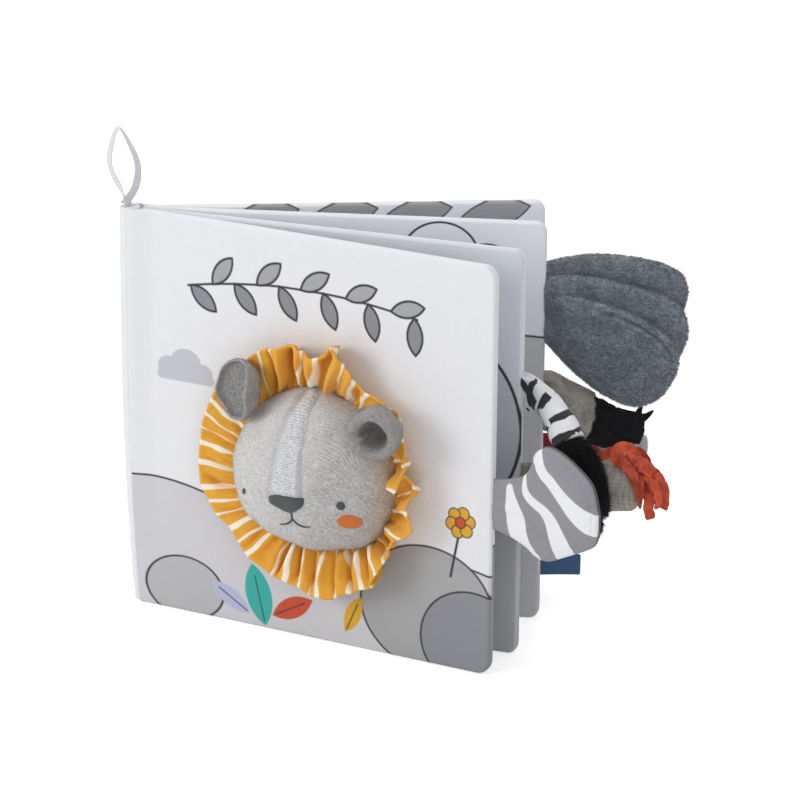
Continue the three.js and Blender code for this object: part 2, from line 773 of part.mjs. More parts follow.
function redTail() {
  const stations = plainStations(redTailLength, redTailZ, 0, redTailHeight, redTailHeight,
    redTailThickness);
  const end = stations.at(-1).at;
  const tipShares = [0.82, 1, 0.96, 0.62];
  const roundTip = 0.3;
  const tip = tipShares.map((share, i) => ({
    at: end.clone().add(place(seat + redTipLength * i / (tipShares.length - 1), 0, 0)),
    height: redTipHeight * share,
    thickness: redTailThickness * share,
  }));
  return tailGroup(
    piece('red_tail_sleeve', sleeve(stations), 0x9e2a40),
    piece('red_tail_stuffing', stuffing(stations), 0xf4f3ef),
    piece('red_tail_white_tip', sweep(tip, { roundTip }), 0xf1f1f2),
  );
}

// The striped paddle is a flat padded shape, given by its lower and upper edge along its length.
function paddle() {
  const lengthShares = [0, 0.12, 0.24, 0.36, 0.46, 0.6, 0.75, 0.88, 0.96, 1];
  const lowShares = [-0.28, -0.32, -0.39, -0.44, -0.46, -0.42, -0.36, -0.28, -0.22, -0.14];
  const highShares = [0.15, 0.19, 0.24, 0.4, 0.51, 0.49, 0.42, 0.3, 0.22, 0.06];
  const swellShare = 0.31;
  const tipThinShare = 0.35;
  const fillingShare = 0.14;
  const sidePower = 0.7;
  const rootRound = rootThickness / 2 * rootRoundShare;
  const square = (value) => Math.sign(value) * Math.abs(value) ** sidePower;
  const body = (grow, before) => {
    const ringAt = (i, shift, thickShare = 1) => {
      const bottom = paddleZ + lowShares[i] * paddleHeight - grow;
      const top = paddleZ + highShares[i] * paddleHeight + grow;
      const swell = Math.sin(Math.PI / 2 * Math.min(1, lengthShares[i] / swellShare));
      const thick = rootThickness + (paddleThickness - rootThickness) * swell;
      const tip = i === lengthShares.length - 1 ? tipThinShare : 1;
      const half = thick / 2 * tip * thickShare + grow;
      return Array.from({ length: sweepSides }, (_, k) => {
        const turn = 2 * Math.PI * k / sweepSides;
        return place(paddleLength * lengthShares[i] + shift, half * Math.cos(turn),
          (top + bottom) / 2 + (top - bottom) / 2 * square(Math.sin(turn)));
      });
    };
    const rings = lengthShares.map((share, i) => ringAt(i, share === 1 ? grow : 0));
    if (before) rings.unshift(ringAt(0, -before, grow ? 1 : rootRoundShare));
    return solid(skin(rings));
  };
  const shell = body(0, rootRound).subtract(body(-sleeveWall, overrun));
  const far = paddleLength + overrun;
  const tall = paddleZ + paddleHeight;
  const block = (from, near, behind) => solid(
    slab([[from, 0], [far, 0], [far, tall], [from, tall]], near, behind));
  const filling = body(-sleeveWall - seat, 0)
    .intersect(block(paddleLength * fillingShare, -paddleThickness, paddleThickness));
  const frontHalf = shell.intersect(block(-overrun, -paddleThickness, -seat / 2));
  const backHalf = shell.intersect(block(-overrun, seat / 2, paddleThickness));
  return tailGroup(
    piece('striped_paddle_front_cloth', fromSolid(frontHalf), 0x929196),
    piece('striped_paddle_back_cloth', fromSolid(backHalf), 0x929196),
    piece('striped_paddle_filling', fromSolid(filling), 0xf4f3ef),
  );
}

const white = 0xe8e9ed;
const pale = 0xdcdfe6;
const book = new THREE.Group();
const backCover = pageGroup('back_cover', 0, [pale, white]);
const leafTwo = pageGroup('leaf_two', leafTwoAngle, [pale, pale]);
const leafOne = pageGroup('leaf_one', leafOneAngle, [pale, pale]);
const frontCover = pageGroup('front_cover', frontCoverAngle, [white, pale]);
backCover.add(
  piece('spine_cloth', spineWrap(), white),
  piece('spine_seam_core', spineCore(), 0xf4f3ef),
  piece('hanging_loop', hangingLoop(), 0xe6e7ea),
  piece('side_label', sideLabel(), 0x2e4a6b),
  redTail(),
);
leafTwo.add(plume(), greyTail());
leafOne.add(zebraTail(), linenTail());
frontCover.add(lionGroup(), paddle());
book.add(backCover, leafTwo, leafOne, frontCover);

export default book;
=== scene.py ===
import math

import bpy
import numpy as np
from mathutils import Matrix, Vector


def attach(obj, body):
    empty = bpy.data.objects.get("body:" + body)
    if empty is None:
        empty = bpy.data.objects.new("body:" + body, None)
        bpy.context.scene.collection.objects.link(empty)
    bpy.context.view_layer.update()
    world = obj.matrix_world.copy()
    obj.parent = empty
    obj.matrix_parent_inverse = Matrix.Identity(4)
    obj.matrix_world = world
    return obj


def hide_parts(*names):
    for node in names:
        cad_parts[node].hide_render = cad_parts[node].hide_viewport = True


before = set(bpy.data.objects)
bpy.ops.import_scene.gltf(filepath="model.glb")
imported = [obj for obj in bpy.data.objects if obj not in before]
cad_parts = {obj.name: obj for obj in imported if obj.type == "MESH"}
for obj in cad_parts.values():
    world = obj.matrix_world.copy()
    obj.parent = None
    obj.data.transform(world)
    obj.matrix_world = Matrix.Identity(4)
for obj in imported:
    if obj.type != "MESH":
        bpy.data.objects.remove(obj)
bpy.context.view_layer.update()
print("frame loaded")

mm = 0.001
placeScale = 200.0  # pattern places are kept as shares of this many mm
wholeTurn = 2 * math.pi
quarter = math.pi / 2


# Number helpers

def smooth(x, low, high):
    # Rises from 0 at low to 1 at high with level ends.
    t = np.clip((x - low) / (high - low), 0, 1)
    return t * t * (3 - 2 * t)


def waves(a, b, size, seed, count=9):
    # Sine waves of about one size, added in random directions, mostly between -1 and 1.
    draws = np.random.default_rng(seed).uniform(0, 1, (count, 3))
    total = 0.0
    for turn, pace, phase in draws:
        rate = 2 * math.pi / (size * (0.7 + 0.9 * pace))
        along = a * math.cos(2 * math.pi * turn) + b * math.sin(2 * math.pi * turn)
        total = total + np.sin(rate * along + 2 * math.pi * phase)
    return total / math.sqrt(count)


def bump(x, width):
    # A bell of height 1 round 0.
    return np.exp(-(x / width) ** 2)


def curveThrough(points, shares):
    # Catmull-Rom spans through the points, read at shares from 0 to 1.
    p = np.asarray(points, float)
    p = np.vstack([2 * p[0] - p[1], p, 2 * p[-1] - p[-2]])
    s = np.clip(np.asarray(shares, float), 0, 1) * (len(p) - 3)
    i = np.minimum(s.astype(int), len(p) - 4)
    t = (s - i)[..., None]
    a, b, c, d = p[i], p[i + 1], p[i + 2], p[i + 3]
    return 0.5 * (2 * b + (c - a) * t + (2 * a - 5 * b + 4 * c - d) * t ** 2
                  + (3 * b - a - 3 * c + d) * t ** 3)


def easedShares(count, ends=1.0):
    # Shares from 0 to 1 that lie closer together at both ends.
    t = np.linspace(0, 1, count)
    return (1 - ends) * t + ends * (1 - np.cos(math.pi * t)) / 2


def unit(v):
    return v / np.maximum(np.linalg.norm(v, axis=-1, keepdims=True), 1e-9)


def circle(count):
    return np.linspace(0, wholeTurn, count, endpoint=False)


def cosSin(degrees):
    return math.cos(math.radians(degrees)), math.sin(math.radians(degrees))


def gapTo(angle, degrees):
    # How far angles lie from one that is given in degrees, at most half a turn either way.
    return np.angle(np.exp(1j * (angle - math.radians(degrees))))


def squared(v, power):
    # A sine or cosine with flatter tops, which squares a round section.
    return np.sign(v) * np.abs(v) ** power


def together(*parts):
    # Arrays spread over one grid, as the grid's last axis.
    return np.stack(np.broadcast_arrays(*parts), -1)


def closed(grid):
    # The grid with its first column once more at the end.
    return np.concatenate([grid, grid[:, :1]], 1)


def runLength(points):
    return np.concatenate([[0], np.cumsum(np.linalg.norm(np.diff(points, axis=0), axis=1))])


def turned(points, degrees):
    # Points turned about the spine, which is the z axis.
    c, s = cosSin(degrees)
    x, y, z = np.moveaxis(np.asarray(points, float), -1, 0)
    return np.stack([x * c - y * s, x * s + y * c, z], -1)


# Surfaces

def gridCorners(grid):
    # The four corners of each cell of a grid.
    return np.stack([grid[:-1, :-1], grid[1:, :-1], grid[1:, 1:], grid[:-1, 1:]], 2)


def gridQuads(index, wrap=False):
    # The quads of a grid of point numbers. With wrap the last row meets the first.
    return gridCorners(np.vstack([index, index[:1]]) if wrap else index).reshape(-1, 4)


def gridPlaces(places):
    # The pattern place at each corner of those quads.
    return gridCorners(places).reshape(-1, 4, 2)


def signedVolume(points, quads):
    a, b, c, d = (points[quads[:, k]] for k in range(4))
    return (np.einsum("ij,ij->i", a, np.cross(b, c))
            + np.einsum("ij,ij->i", a, np.cross(c, d))).sum()


class Form:
    # Closed skins gathered for one piece: points in mm, quads, a pattern place and a material each.
    def __init__(self):
        self.points, self.quads, self.places, self.kinds, self.count = [], [], [], [], 0

    def add(self, points, quads, places, kinds=None, turn=True):
        points = np.asarray(points, float).reshape(-1, 3)
        if turn and signedVolume(points, quads) < 0:
            quads, places = quads[:, ::-1], places[:, ::-1]
        self.points.append(points)
        self.quads.append(quads + self.count)
        self.places.append(places)
        self.kinds.append(np.zeros(len(quads), int) if kinds is None else kinds)
        self.count += len(points)
        return self

    def pillow(self, top, bottom, places, kinds=(0, 0)):
        # Two grids that share their border become one closed skin.
        index = np.arange(top[..., 0].size).reshape(top.shape[:2])
        edge = np.zeros(index.shape, bool)
        edge[:, [0, -1]] = edge[[0, -1]] = True
        shared = np.where(edge[..., None], (top + bottom) / 2, top)
        under = np.where(edge, index, index + index.size)
        front, back = gridQuads(index), gridQuads(under)[:, ::-1]
        corner = gridPlaces(places)
        return self.add(np.concatenate([shared.reshape(-1, 3), bottom.reshape(-1, 3)]),
                        np.vstack([front, back]), np.concatenate([corner, corner[:, ::-1]]),
                        np.repeat(kinds, [len(front), len(back)]))

    def tube(self, rings, places=None, size=None):
        # Rings of points joined into a skin; each end is drawn to its middle and so closed. Without
        # places the pattern has a size along the rings and round them.
        count = rings.shape[1]
        if places is None:
            places = together(np.linspace(0, size[0], len(rings))[:, None],
                              np.linspace(0, size[1], count + 1)[None])
        ends = [np.repeat(rings[k].mean(0)[None], count, 0)[None] for k in (0, -1)]
        rings = np.concatenate([ends[0], rings, ends[1]])
        places = np.concatenate([places[:1], places, places[-1:]])
        index = closed(np.arange(rings.shape[0] * count).reshape(-1, count))
        return self.add(rings, gridQuads(index), gridPlaces(places))

    def fibres(self, count, length, thick, lean=(0, 0, -1), leaning=0.5, seed=1, bend=0.0,
               keep=None, spread=0.35):
        # Short tapered fibres on the skins so far: a random place on a quad, the skin's normal
        # drawn towards the lean, and three sides that meet in a point.
        points, quads = np.concatenate(self.points), np.concatenate(self.quads)
        a, b, c, d = (points[quads[:, k]] for k in range(4))
        normal = np.cross(c - a, d - b)
        area = np.linalg.norm(normal, axis=1)
        if keep is not None:
            area = area * keep(unit(normal))
        rng = np.random.default_rng(seed)
        pick = rng.choice(len(quads), count, p=area / area.sum())
        s, t = rng.uniform(0, 1, (2, count, 1))
        root = ((a[pick] * (1 - s) + b[pick] * s) * (1 - t)
                + (d[pick] * (1 - s) + c[pick] * s) * t)
        out, lean = unit(normal[pick]), np.asarray(lean, float)
        way = unit(out + leaning * lean + spread * rng.normal(0, 1, (count, 3)))
        side = unit(np.cross(out, way) + 1e-4)
        other = np.cross(out, side)
        reach = length * rng.uniform(0.55, 1.15, (count, 1))
        thickness = thick * rng.uniform(0.7, 1.2, (count, 1))
        base = root - out * length * 0.08
        droop = lean * bend * reach
        tip = base + way * reach + droop
        rings = [(base, 1.0)]
        if bend:
            rings.append((base + way * reach * 0.55 + droop * 0.25, 0.75))
        ring = [centre + thickness * size * (side * math.cos(turn) + other * math.sin(turn))
                for centre, size in rings for turn in (0, 2.094, 4.189)]
        strand = np.stack([*ring, tip], 1)
        top = 3 * (len(rings) - 1)
        apex = top + 3
        rows = [(k + i, k + (i + 1) % 3, k + 3 + (i + 1) % 3, k + 3 + i)
                for k in range(0, top, 3) for i in range(3)]
        rows += [(top + i, top + (i + 1) % 3, apex, apex) for i in range(3)] + [(2, 1, 0, 0)]
        rows = np.array(rows)
        if signedVolume(strand[0], rows) < 0:
            rows = rows[:, ::-1]
        faces = (rows[None] + (np.arange(count) * (apex + 1))[:, None, None]).reshape(-1, 4)
        at = np.concatenate(self.places)[pick].mean(1)
        spots = np.repeat(np.repeat(at[:, None], len(rows), 1).reshape(-1, 1, 2), 4, 1)
        return self.add(strand, faces, spots, turn=False)

    def moved(self, way):
        self.points = [way(p) for p in self.points]
        return self


def welded(points, quads, places, kinds):
    # Points at one place become one point; quads that lose a corner become triangles.
    key = np.round(points * 2000).astype(np.int64)
    key -= key.min(0)
    span = key.max(0) + 1
    _, first, back = np.unique((key[:, 0] * span[1] + key[:, 1]) * span[2] + key[:, 2],
                               return_index=True, return_inverse=True)
    quads = back.reshape(-1)[quads]
    same = quads == np.roll(quads, -1, 1)
    crossed = (quads[:, 0] == quads[:, 2]) | (quads[:, 1] == quads[:, 3])
    whole = ~same.any(1) & ~crossed
    three = (same.sum(1) == 1) & ~crossed
    keep = ~same[three]
    triangles = quads[three][keep].reshape(-1, 3)
    faces = [(quads[whole], places[whole], kinds[whole]),
             (triangles, places[three][keep].reshape(-1, 3, 2), kinds[three])]
    return points[first], faces


def addObject(name, data):
    made = bpy.data.objects.new(name, data)
    bpy.context.scene.collection.objects.link(made)
    return made


def makePiece(name, form, materials, body, nodes, place=None):
    # One closed mesh object from a form, riding on a body in the place of CAD nodes.
    if place:
        form.moved(place)
    points, faces = welded(np.concatenate(form.points), np.concatenate(form.quads),
                           np.concatenate(form.places), np.concatenate(form.kinds))
    corners = np.concatenate([f.ravel() for f, _, _ in faces])
    used, corners = np.unique(corners, return_inverse=True)
    sizes = np.concatenate([np.full(len(f), f.shape[1]) for f, _, _ in faces])
    starts = np.concatenate([[0], np.cumsum(sizes)[:-1]])
    kinds = np.concatenate([k for _, _, k in faces])
    places = np.concatenate([p.reshape(-1, 2) for _, p, _ in faces]) / placeScale
    mesh = bpy.data.meshes.new(name)
    mesh.vertices.add(len(used))
    mesh.vertices.foreach_set("co", (points[used] * mm).astype(np.float32).ravel())
    mesh.loops.add(len(corners))
    mesh.loops.foreach_set("vertex_index", corners.astype(np.int32).ravel())
    mesh.polygons.add(len(sizes))
    mesh.polygons.foreach_set("loop_start", starts.astype(np.int32))
    mesh.polygons.foreach_set("material_index", kinds.astype(np.int32))
    layer = mesh.uv_layers.new(name="place")
    layer.data.foreach_set("uv", places.astype(np.float32).ravel())
    mesh.update(calc_edges=True)
    mesh.polygons.foreach_set("use_smooth", np.ones(len(sizes), bool))
    piece = addObject(name, mesh)
    materials = materials if isinstance(materials, list) else [materials]
    for material in materials:
        mesh.materials.append(material)
    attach(piece, body)
    # Blender may have added a number to the material's name.
    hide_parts(*nodes)
    print("made", name, len(sizes), "faces")
    return piece


# Shader maths

class Signal:
    # A socket that adds Math nodes when it is reckoned with.
    def __init__(self, shade, socket):
        self.shade, self.socket = shade, socket

    def __rsub__(self, other):
        return self.shade.node("ShaderNodeMath", {"operation": "SUBTRACT"}, {0: other, 1: self})

    def clamp(self):
        return self.shade.node("ShaderNodeClamp", {}, {"Value": self})

    def step(self, low, high):
        # 0 below low, 1 above high, smooth between them.
        return self.shade.node("ShaderNodeMapRange", {"interpolation_type": "SMOOTHSTEP"},
                               {"Value": self, "From Min": low, "From Max": high})

    def ribs(self, pitch, push=0.0):
        # Even ridges from 0 to 1, one to each pitch, pushed along by so many radians.
        return (self * (wholeTurn / pitch) + push).sine() * 0.5 + 0.5


def reckoner(operation):
    return lambda self, *others: self.shade.node("ShaderNodeMath", {"operation": operation},
                                                 dict(enumerate([self, *others])))


for method, operation in {
        "__add__": "ADD", "__radd__": "ADD", "__sub__": "SUBTRACT", "__mul__": "MULTIPLY",
        "__rmul__": "MULTIPLY", "__truediv__": "DIVIDE", "__pow__": "POWER",
        "__abs__": "ABSOLUTE", "high": "MAXIMUM", "sine": "SINE", "fraction": "FRACT"}.items():
    setattr(Signal, method, reckoner(operation))


def rgb(code):
    # A written colour such as "E8E9ED" as Blender's linear values.
    parts = [int(code[k:k + 2], 16) / 255 for k in (0, 2, 4)]
    return [p / 12.92 if p <= 0.04045 else ((p + 0.055) / 1.055) ** 2.4 for p in parts] + [1.0]


class Shade:
    # One material: its nodes come from one method, and its maths from signals.
    def __init__(self, name, roughness=0.85, sheen=0.0, sheenTint="FFFFFF", specular=0.25):
        self.material = bpy.data.materials.new(name)
        self.material.use_nodes = True
        self.tree = self.material.node_tree
        self.surface = self.tree.nodes["Principled BSDF"]
        for key, value in {"Roughness": roughness, "Sheen Weight": sheen, "Sheen Roughness": 0.5,
                           "Sheen Tint": rgb(sheenTint), "Specular IOR Level": specular}.items():
            self.surface.inputs[key].default_value = value

    def node(self, kind, settings={}, values={}, out=0):
        made = self.tree.nodes.new(kind)
        for key, value in settings.items():
            setattr(made, key, value)
        for key, value in values.items():
            if isinstance(value, Signal):
                self.tree.links.new(value.socket, made.inputs[key])
            else:
                made.inputs[key].default_value = value
        return Signal(self, made.outputs[out])

    def places(self):
        # The pattern place in mm: across and along the cloth.
        at = self.node("ShaderNodeUVMap", {"uv_map": "place"})
        split = self.node("ShaderNodeSeparateXYZ", {}, {0: at}).socket.node
        return [Signal(self, split.outputs[k]) * placeScale for k in (0, 1)]

    def room(self):
        # Object coordinates in mm, as one vector.
        at = self.node("ShaderNodeTexCoord", out=3)
        return self.node("ShaderNodeVectorMath", {"operation": "SCALE"}, {0: at, "Scale": 1000.0})

    def vector(self, x, y, z=0.0):
        return self.node("ShaderNodeCombineXYZ", {}, {0: x, 1: y, 2: z})

    def noise(self, at, size, detail=3.0, roughness=0.55, seed=0.0):
        # Soft noise from 0 to 1 whose lumps are about so many mm wide.
        moved = self.node("ShaderNodeVectorMath", {"operation": "ADD"},
                          {0: at, 1: (seed, seed * 1.7, 0)})
        return self.node("ShaderNodeTexNoise", {}, {"Vector": moved, "Scale": 1.0 / size,
                                                    "Detail": detail, "Roughness": roughness})

    def mix(self, share, first, second, blend="MIX"):
        first, second = (rgb(c) if isinstance(c, str) else c for c in (first, second))
        return self.node("ShaderNodeMix", {"data_type": "RGBA", "blend_type": blend},
                         {0: share, 6: first, 7: second}, out=2)

    def dressed(self, colour, height, depth):
        # The surface's colour, and its relief from 0 to 1 over so many mm.
        self.tree.links.new(colour.socket, self.surface.inputs["Base Color"])
        raised = self.node("ShaderNodeBump", {}, {"Height": height, "Distance": depth * mm,
                                                  "Strength": 1.0})
        self.tree.links.new(raised.socket, self.surface.inputs["Normal"])
        return self.material


# Shapes printed on cloth, as distances in mm: below 0 inside

def discOf(x, z, cx, cz, rx, rz):
    far = ((x - cx) / rx) ** 2.0 + ((z - cz) / rz) ** 2.0
    return (far ** 0.5 - 1.0) * min(rx, rz)


def barOf(x, z, start, end, radius):
    # A round-ended bar from start to end.
    dx, dz = end[0] - start[0], end[1] - start[1]
    share = (((x - start[0]) * dx + (z - start[1]) * dz) / (dx * dx + dz * dz)).clamp()
    return ((x - start[0] - share * dx) ** 2.0 + (z - start[1] - share * dz) ** 2.0) ** 0.5 - radius


def leafOf(x, z, cx, cz, degrees, length, width):
    # A pointed leaf: what two circles have in common.
    c, s = cosSin(degrees)
    along = (x - cx) * c + (z - cz) * s
    across = abs((z - cz) * c - (x - cx) * s)
    radius = (length ** 2 + width ** 2) / (4 * width)
    return (along ** 2.0 + (across + (radius - width / 2)) ** 2.0) ** 0.5 - radius


def inside(distance, soft=0.3):
    return (0.5 - distance / (2 * soft)).clamp()


def line(distance, width, soft=0.3):
    return inside(abs(distance) - width / 2, soft)


def paint(shade, colour, distance, fill, edge=None, width=0.9):
    # Fills a shape and draws its dark edge.
    if fill:
        colour = shade.mix(inside(distance), colour, fill)
    return shade.mix(line(distance, width), colour, edge) if edge else colour


ink = "3A3B40"


def woven(shade, colour, x, z, pitch=0.55, depth=0.08, seed=3.0):
    # Plain weave: thread bumps both ways, a little uneven, with faint cloudy shade over it.
    room = shade.room()
    cloud = shade.noise(room, 9.0, 4.0, 0.6, seed)
    grain = shade.noise(room, 0.9, 2.0, 0.6, seed + 5)
    threads = (x.ribs(pitch, grain * 1.5) + z.ribs(pitch, grain * 1.5)) * 0.5
    patch = 0.09
    tone = cloud * (patch * 0.3) + grain * patch + (1.0 - patch * 0.65) - threads * (patch * 0.25)
    colour = shade.mix(1.0, colour, shade.vector(tone, tone, tone), "MULTIPLY")
    return shade.dressed(colour, threads * 0.6 + grain * 0.9, depth)


# The camera and the studio

view = {
    "camera": (-65.8, -1932.5, 721.8),
    "target": (122.2, -18.4, 100.6),
    "roll": 0.62,
    "lens": 198.3,
    "sensor": 36.0,
    "clip": (0.05, 60.0),
}


def makeCamera():
    data = bpy.data.cameras.new("camera")
    data.lens, data.sensor_width = view["lens"], view["sensor"]
    data.clip_start, data.clip_end = view["clip"]
    camera = addObject("camera", data)
    place, target = Vector(view["camera"]) * mm, Vector(view["target"]) * mm
    look = (target - place).to_track_quat("-Z", "Y").to_matrix().to_4x4()
    camera.matrix_world = Matrix.Translation(place) @ look @ Matrix.Rotation(
        math.radians(view["roll"]), 4, "Z")
    bpy.context.scene.camera = camera


studio = {
    "floor": "F4F4F5",
    "floorReach": 40.0,
    "floorShade": 0.45,  # how much of the shadow on the floor the camera sees
    "ambient": 0.52,
    "aim": (100, -50, 100),
    "lamps": [
        # name, place in mm, size in mm, power in watts
        ("key", (-1850, -800, 850), 1100, 15.5),
        ("front", (500, -1900, 700), 1300, 5.0),
        ("top", (100, 200, 1800), 1400, 9.0),
        ("back", (200, 1500, 900), 1300, 6.0),
    ],
}


def seenIn(tree):
    # 1 for what the camera sees, in a mirror or through glass too, and 0 for light on its way.
    path = tree.nodes.new("ShaderNodeLightPath").outputs
    seen = path["Is Camera Ray"]
    for kind in ("Is Glossy Ray", "Is Transmission Ray"):
        larger = tree.nodes.new("ShaderNodeMath")
        larger.operation = "MAXIMUM"
        tree.links.new(seen, larger.inputs[0])
        tree.links.new(path[kind], larger.inputs[1])
        seen = larger.outputs[0]
    return seen


def makeFloor():
    # A pale floor that the camera sees almost white but for the shadow.
    mesh = bpy.data.meshes.new("floor")
    r = studio["floorReach"]
    mesh.from_pydata([(-r, -r, 0), (r, -r, 0), (r, r, 0), (-r, r, 0)], [], [(0, 1, 2, 3)])
    addObject("floor", mesh)
    shade = Shade("floor_white", roughness=1.0, specular=0.0)
    shade.surface.inputs["Base Color"].default_value = rgb(studio["floor"])
    glow = shade.node("ShaderNodeEmission", {}, {"Color": (1, 1, 1, 1), "Strength": 1.0})
    bare = Signal(shade, shade.surface.outputs[0])
    both = shade.node("ShaderNodeAddShader", {}, {0: glow, 1: bare})
    half = shade.node("ShaderNodeMixShader", {}, {0: studio["floorShade"], 1: both, 2: bare})
    last = shade.node("ShaderNodeMixShader", {},
                      {0: Signal(shade, seenIn(shade.tree)), 1: bare, 2: half})
    shade.tree.links.new(last.socket, shade.tree.nodes["Material Output"].inputs["Surface"])
    mesh.materials.append(shade.material)


def makeLight():
    # Broad soft lamps, and a world that is white to the camera and dimmer as a light.
    for name, place, size, power in studio["lamps"]:
        data = bpy.data.lights.new(name, "AREA")
        data.shape, data.size, data.energy = "DISK", size * mm, power
        lamp = addObject(name, data)
        lamp.location = Vector(place) * mm
        aim = Vector(studio["aim"]) * mm - Vector(place) * mm
        lamp.rotation_euler = aim.to_track_quat("-Z", "Y").to_euler()
    world = bpy.data.worlds.new("studio")
    world.use_nodes = True
    bpy.context.scene.world = world
    tree = world.node_tree
    background = tree.nodes["Background"]
    background.inputs["Color"].default_value = (1, 1, 1, 1)
    level = tree.nodes.new("ShaderNodeMapRange")
    level.inputs["To Min"].default_value = studio["ambient"]
    level.inputs["To Max"].default_value = 1.0
    tree.links.new(seenIn(tree), level.inputs["Value"])
    tree.links.new(level.outputs[0], background.inputs["Strength"])
    bpy.context.scene.view_settings.view_transform = "Standard"


makeCamera()
makeFloor()
makeLight()
print("camera and studio made")


# Pages

pages = {
    "side": 190.0,
    "thickness": 5.0,
    "corners": {"front_cover": 7.0, "leaf_one": 5.0, "leaf_two": 5.0, "back_cover": 5.0},
    "round": 1.5,  # how far in the padding reaches its full height
    "seamDip": 0.55,
    "start": 6.0,
    "lead": 9.0,  # how far beyond the start a cover has closer columns
    "wedge": 3.1,  # half of the thin wedge by the spine, in degrees
    "cell": 2.1,
    "loose": 0.22,  # how far the cloth wanders between its seams
    "pucker": 0.1,
    "overSpine": (1.0, 5.5),  # where a cover's outer cloth starts on the spine, and its radius
    "footIn": 4.4,  # how far the outer cloth draws in at the spine's foot
    "angles": {"back_cover": 0.0, "leaf_two": 11.5, "leaf_one": 26.0, "front_cover": 35.0},
}


def pageHalf(x):
    return np.minimum(pages["thickness"] / 2, x * math.tan(math.radians(pages["wedge"])))


def spineFoot(z):
    # From 0 up the spine to 1 at its foot, by the third power.
    return np.clip(1 - z / pages["side"], 0, 1) ** 3


def outerHalf(x):
    # The outer cloth of a cover: round the spine like a pipe, then down to the flat page.
    radius = pages["overSpine"][1]
    pipe = np.sqrt(np.maximum(radius ** 2 - np.minimum(x, 1) ** 2, 0))
    return pipe + (pages["thickness"] / 2 - pipe) * smooth(x, 1, 15)


def pageForm(seed, corner, outer=0):
    # Two cloths over padding. A quarter of an ellipse leads from the seam to the full height, and
    # rows near the rounded corners end on their circle. The outer cloth of a cover, at -1 the front
    # and at 1 the back one, goes on over the spine as a single thin cloth.
    p = pages
    side, reach = p["side"], p["round"]
    turn = np.linspace(0, quarter, 9)
    inset = reach * (1 - np.cos(turn)) + p["seamDip"] * np.exp(-(turn / 0.2) ** 2)
    lift = np.sin(turn)
    steps = int((side - 2 * reach) / p["cell"])
    middle = np.linspace(reach, side - reach, steps)[1:-1]
    z = np.concatenate([inset, middle, side - inset[::-1]])
    zLift = np.concatenate([lift, np.ones(len(middle)), lift[::-1]])
    start = p["overSpine"][0] if outer else p["start"]
    lead = np.linspace(start, p["start"] + p["lead"], 26)[:-1] if outer else []
    first = p["start"] + p["lead"] if outer else start
    steps = int((side - reach - first) / p["cell"])
    across = np.concatenate([lead, np.linspace(first, side - reach, steps)[:-1]])
    x = np.concatenate([across, side - inset[::-1]])
    xLift = np.concatenate([np.ones(len(across)), lift[::-1]])
    xLift[0] = 0.0
    rise = np.clip(np.minimum(z, side - z), 0, corner)
    rowEnd = side - corner + np.sqrt(np.maximum(corner ** 2 - (corner - rise) ** 2, 0))
    foot = spineFoot(z)[:, None]
    starts = start + (p["footIn"] * foot if outer else 0 * foot)
    xs = starts + (x[None] - start) * (rowEnd[:, None] - starts) / (side - start)
    zs = np.repeat(z[:, None], len(x), 1)
    share = zLift[:, None] * xLift[None]
    toEdge = np.minimum(np.minimum(zs, side - zs), np.maximum(side - xs, 0))
    free = smooth(toEdge, 1, 26) * smooth(xs, 30, 80)
    along = np.where(np.minimum(zs, side - zs) < side - xs, xs, zs)
    half, shift = pageHalf(xs), 0 * xs
    if outer:
        out = outerHalf(xs) * (1 - foot) + p["thickness"] / 2 * foot
        back = out * -1 + 0.7
        back = back + (pageHalf(xs) - back) * smooth(xs, 4.5, 8)
        half, shift = (out + back) / 2, outer * (out - back) / 2

    def height(number):
        wander = waves(xs, zs, 44, seed + number) + 0.5 * waves(xs, zs, 19, seed + number + 7)
        pull = p["pucker"] * np.sin(wholeTurn * along / 6.1
                                    + 2 * waves(along, zs, 30, seed + number + 3))
        near = np.exp(-toEdge / 5) * smooth(toEdge, 0.4, 2.5) * smooth(xs, 8, 14)
        return half * share + free * (p["loose"] * wander + 0.2) + pull * near * share

    front = np.stack([xs, shift - height(0), zs], -1)
    rear = np.stack([xs, shift + height(20), zs], -1)
    return Form().pillow(front, rear, np.stack([xs, zs], -1), kinds=(0, 1))


def onPage(body):
    return lambda points: turned(points, -pages["angles"][body])


def makePage(name, seed, front, back):
    outer = {"front_cover": -1, "back_cover": 1}.get(name, 0)
    parts = ("front_cloth", "back_cloth", "crinkle_film", "wadding")
    piece = makePiece(f"{name}_panel", pageForm(seed, pages["corners"][name], outer), [front, back],
                      name, [f"{name}_{part}" for part in parts],
                      onPage(name))


def ground(shade, x, z, level, slope, swing, sky, land):
    # Sky above a gently waving dark horizon and land below it.
    height = level + x * slope + (x * (wholeTurn / 150) + 0.6).sine() * swing
    colour = shade.mix(inside(z - height, 0.3), sky, land)
    return shade.mix(line(z - height, 1.0), colour, ink)


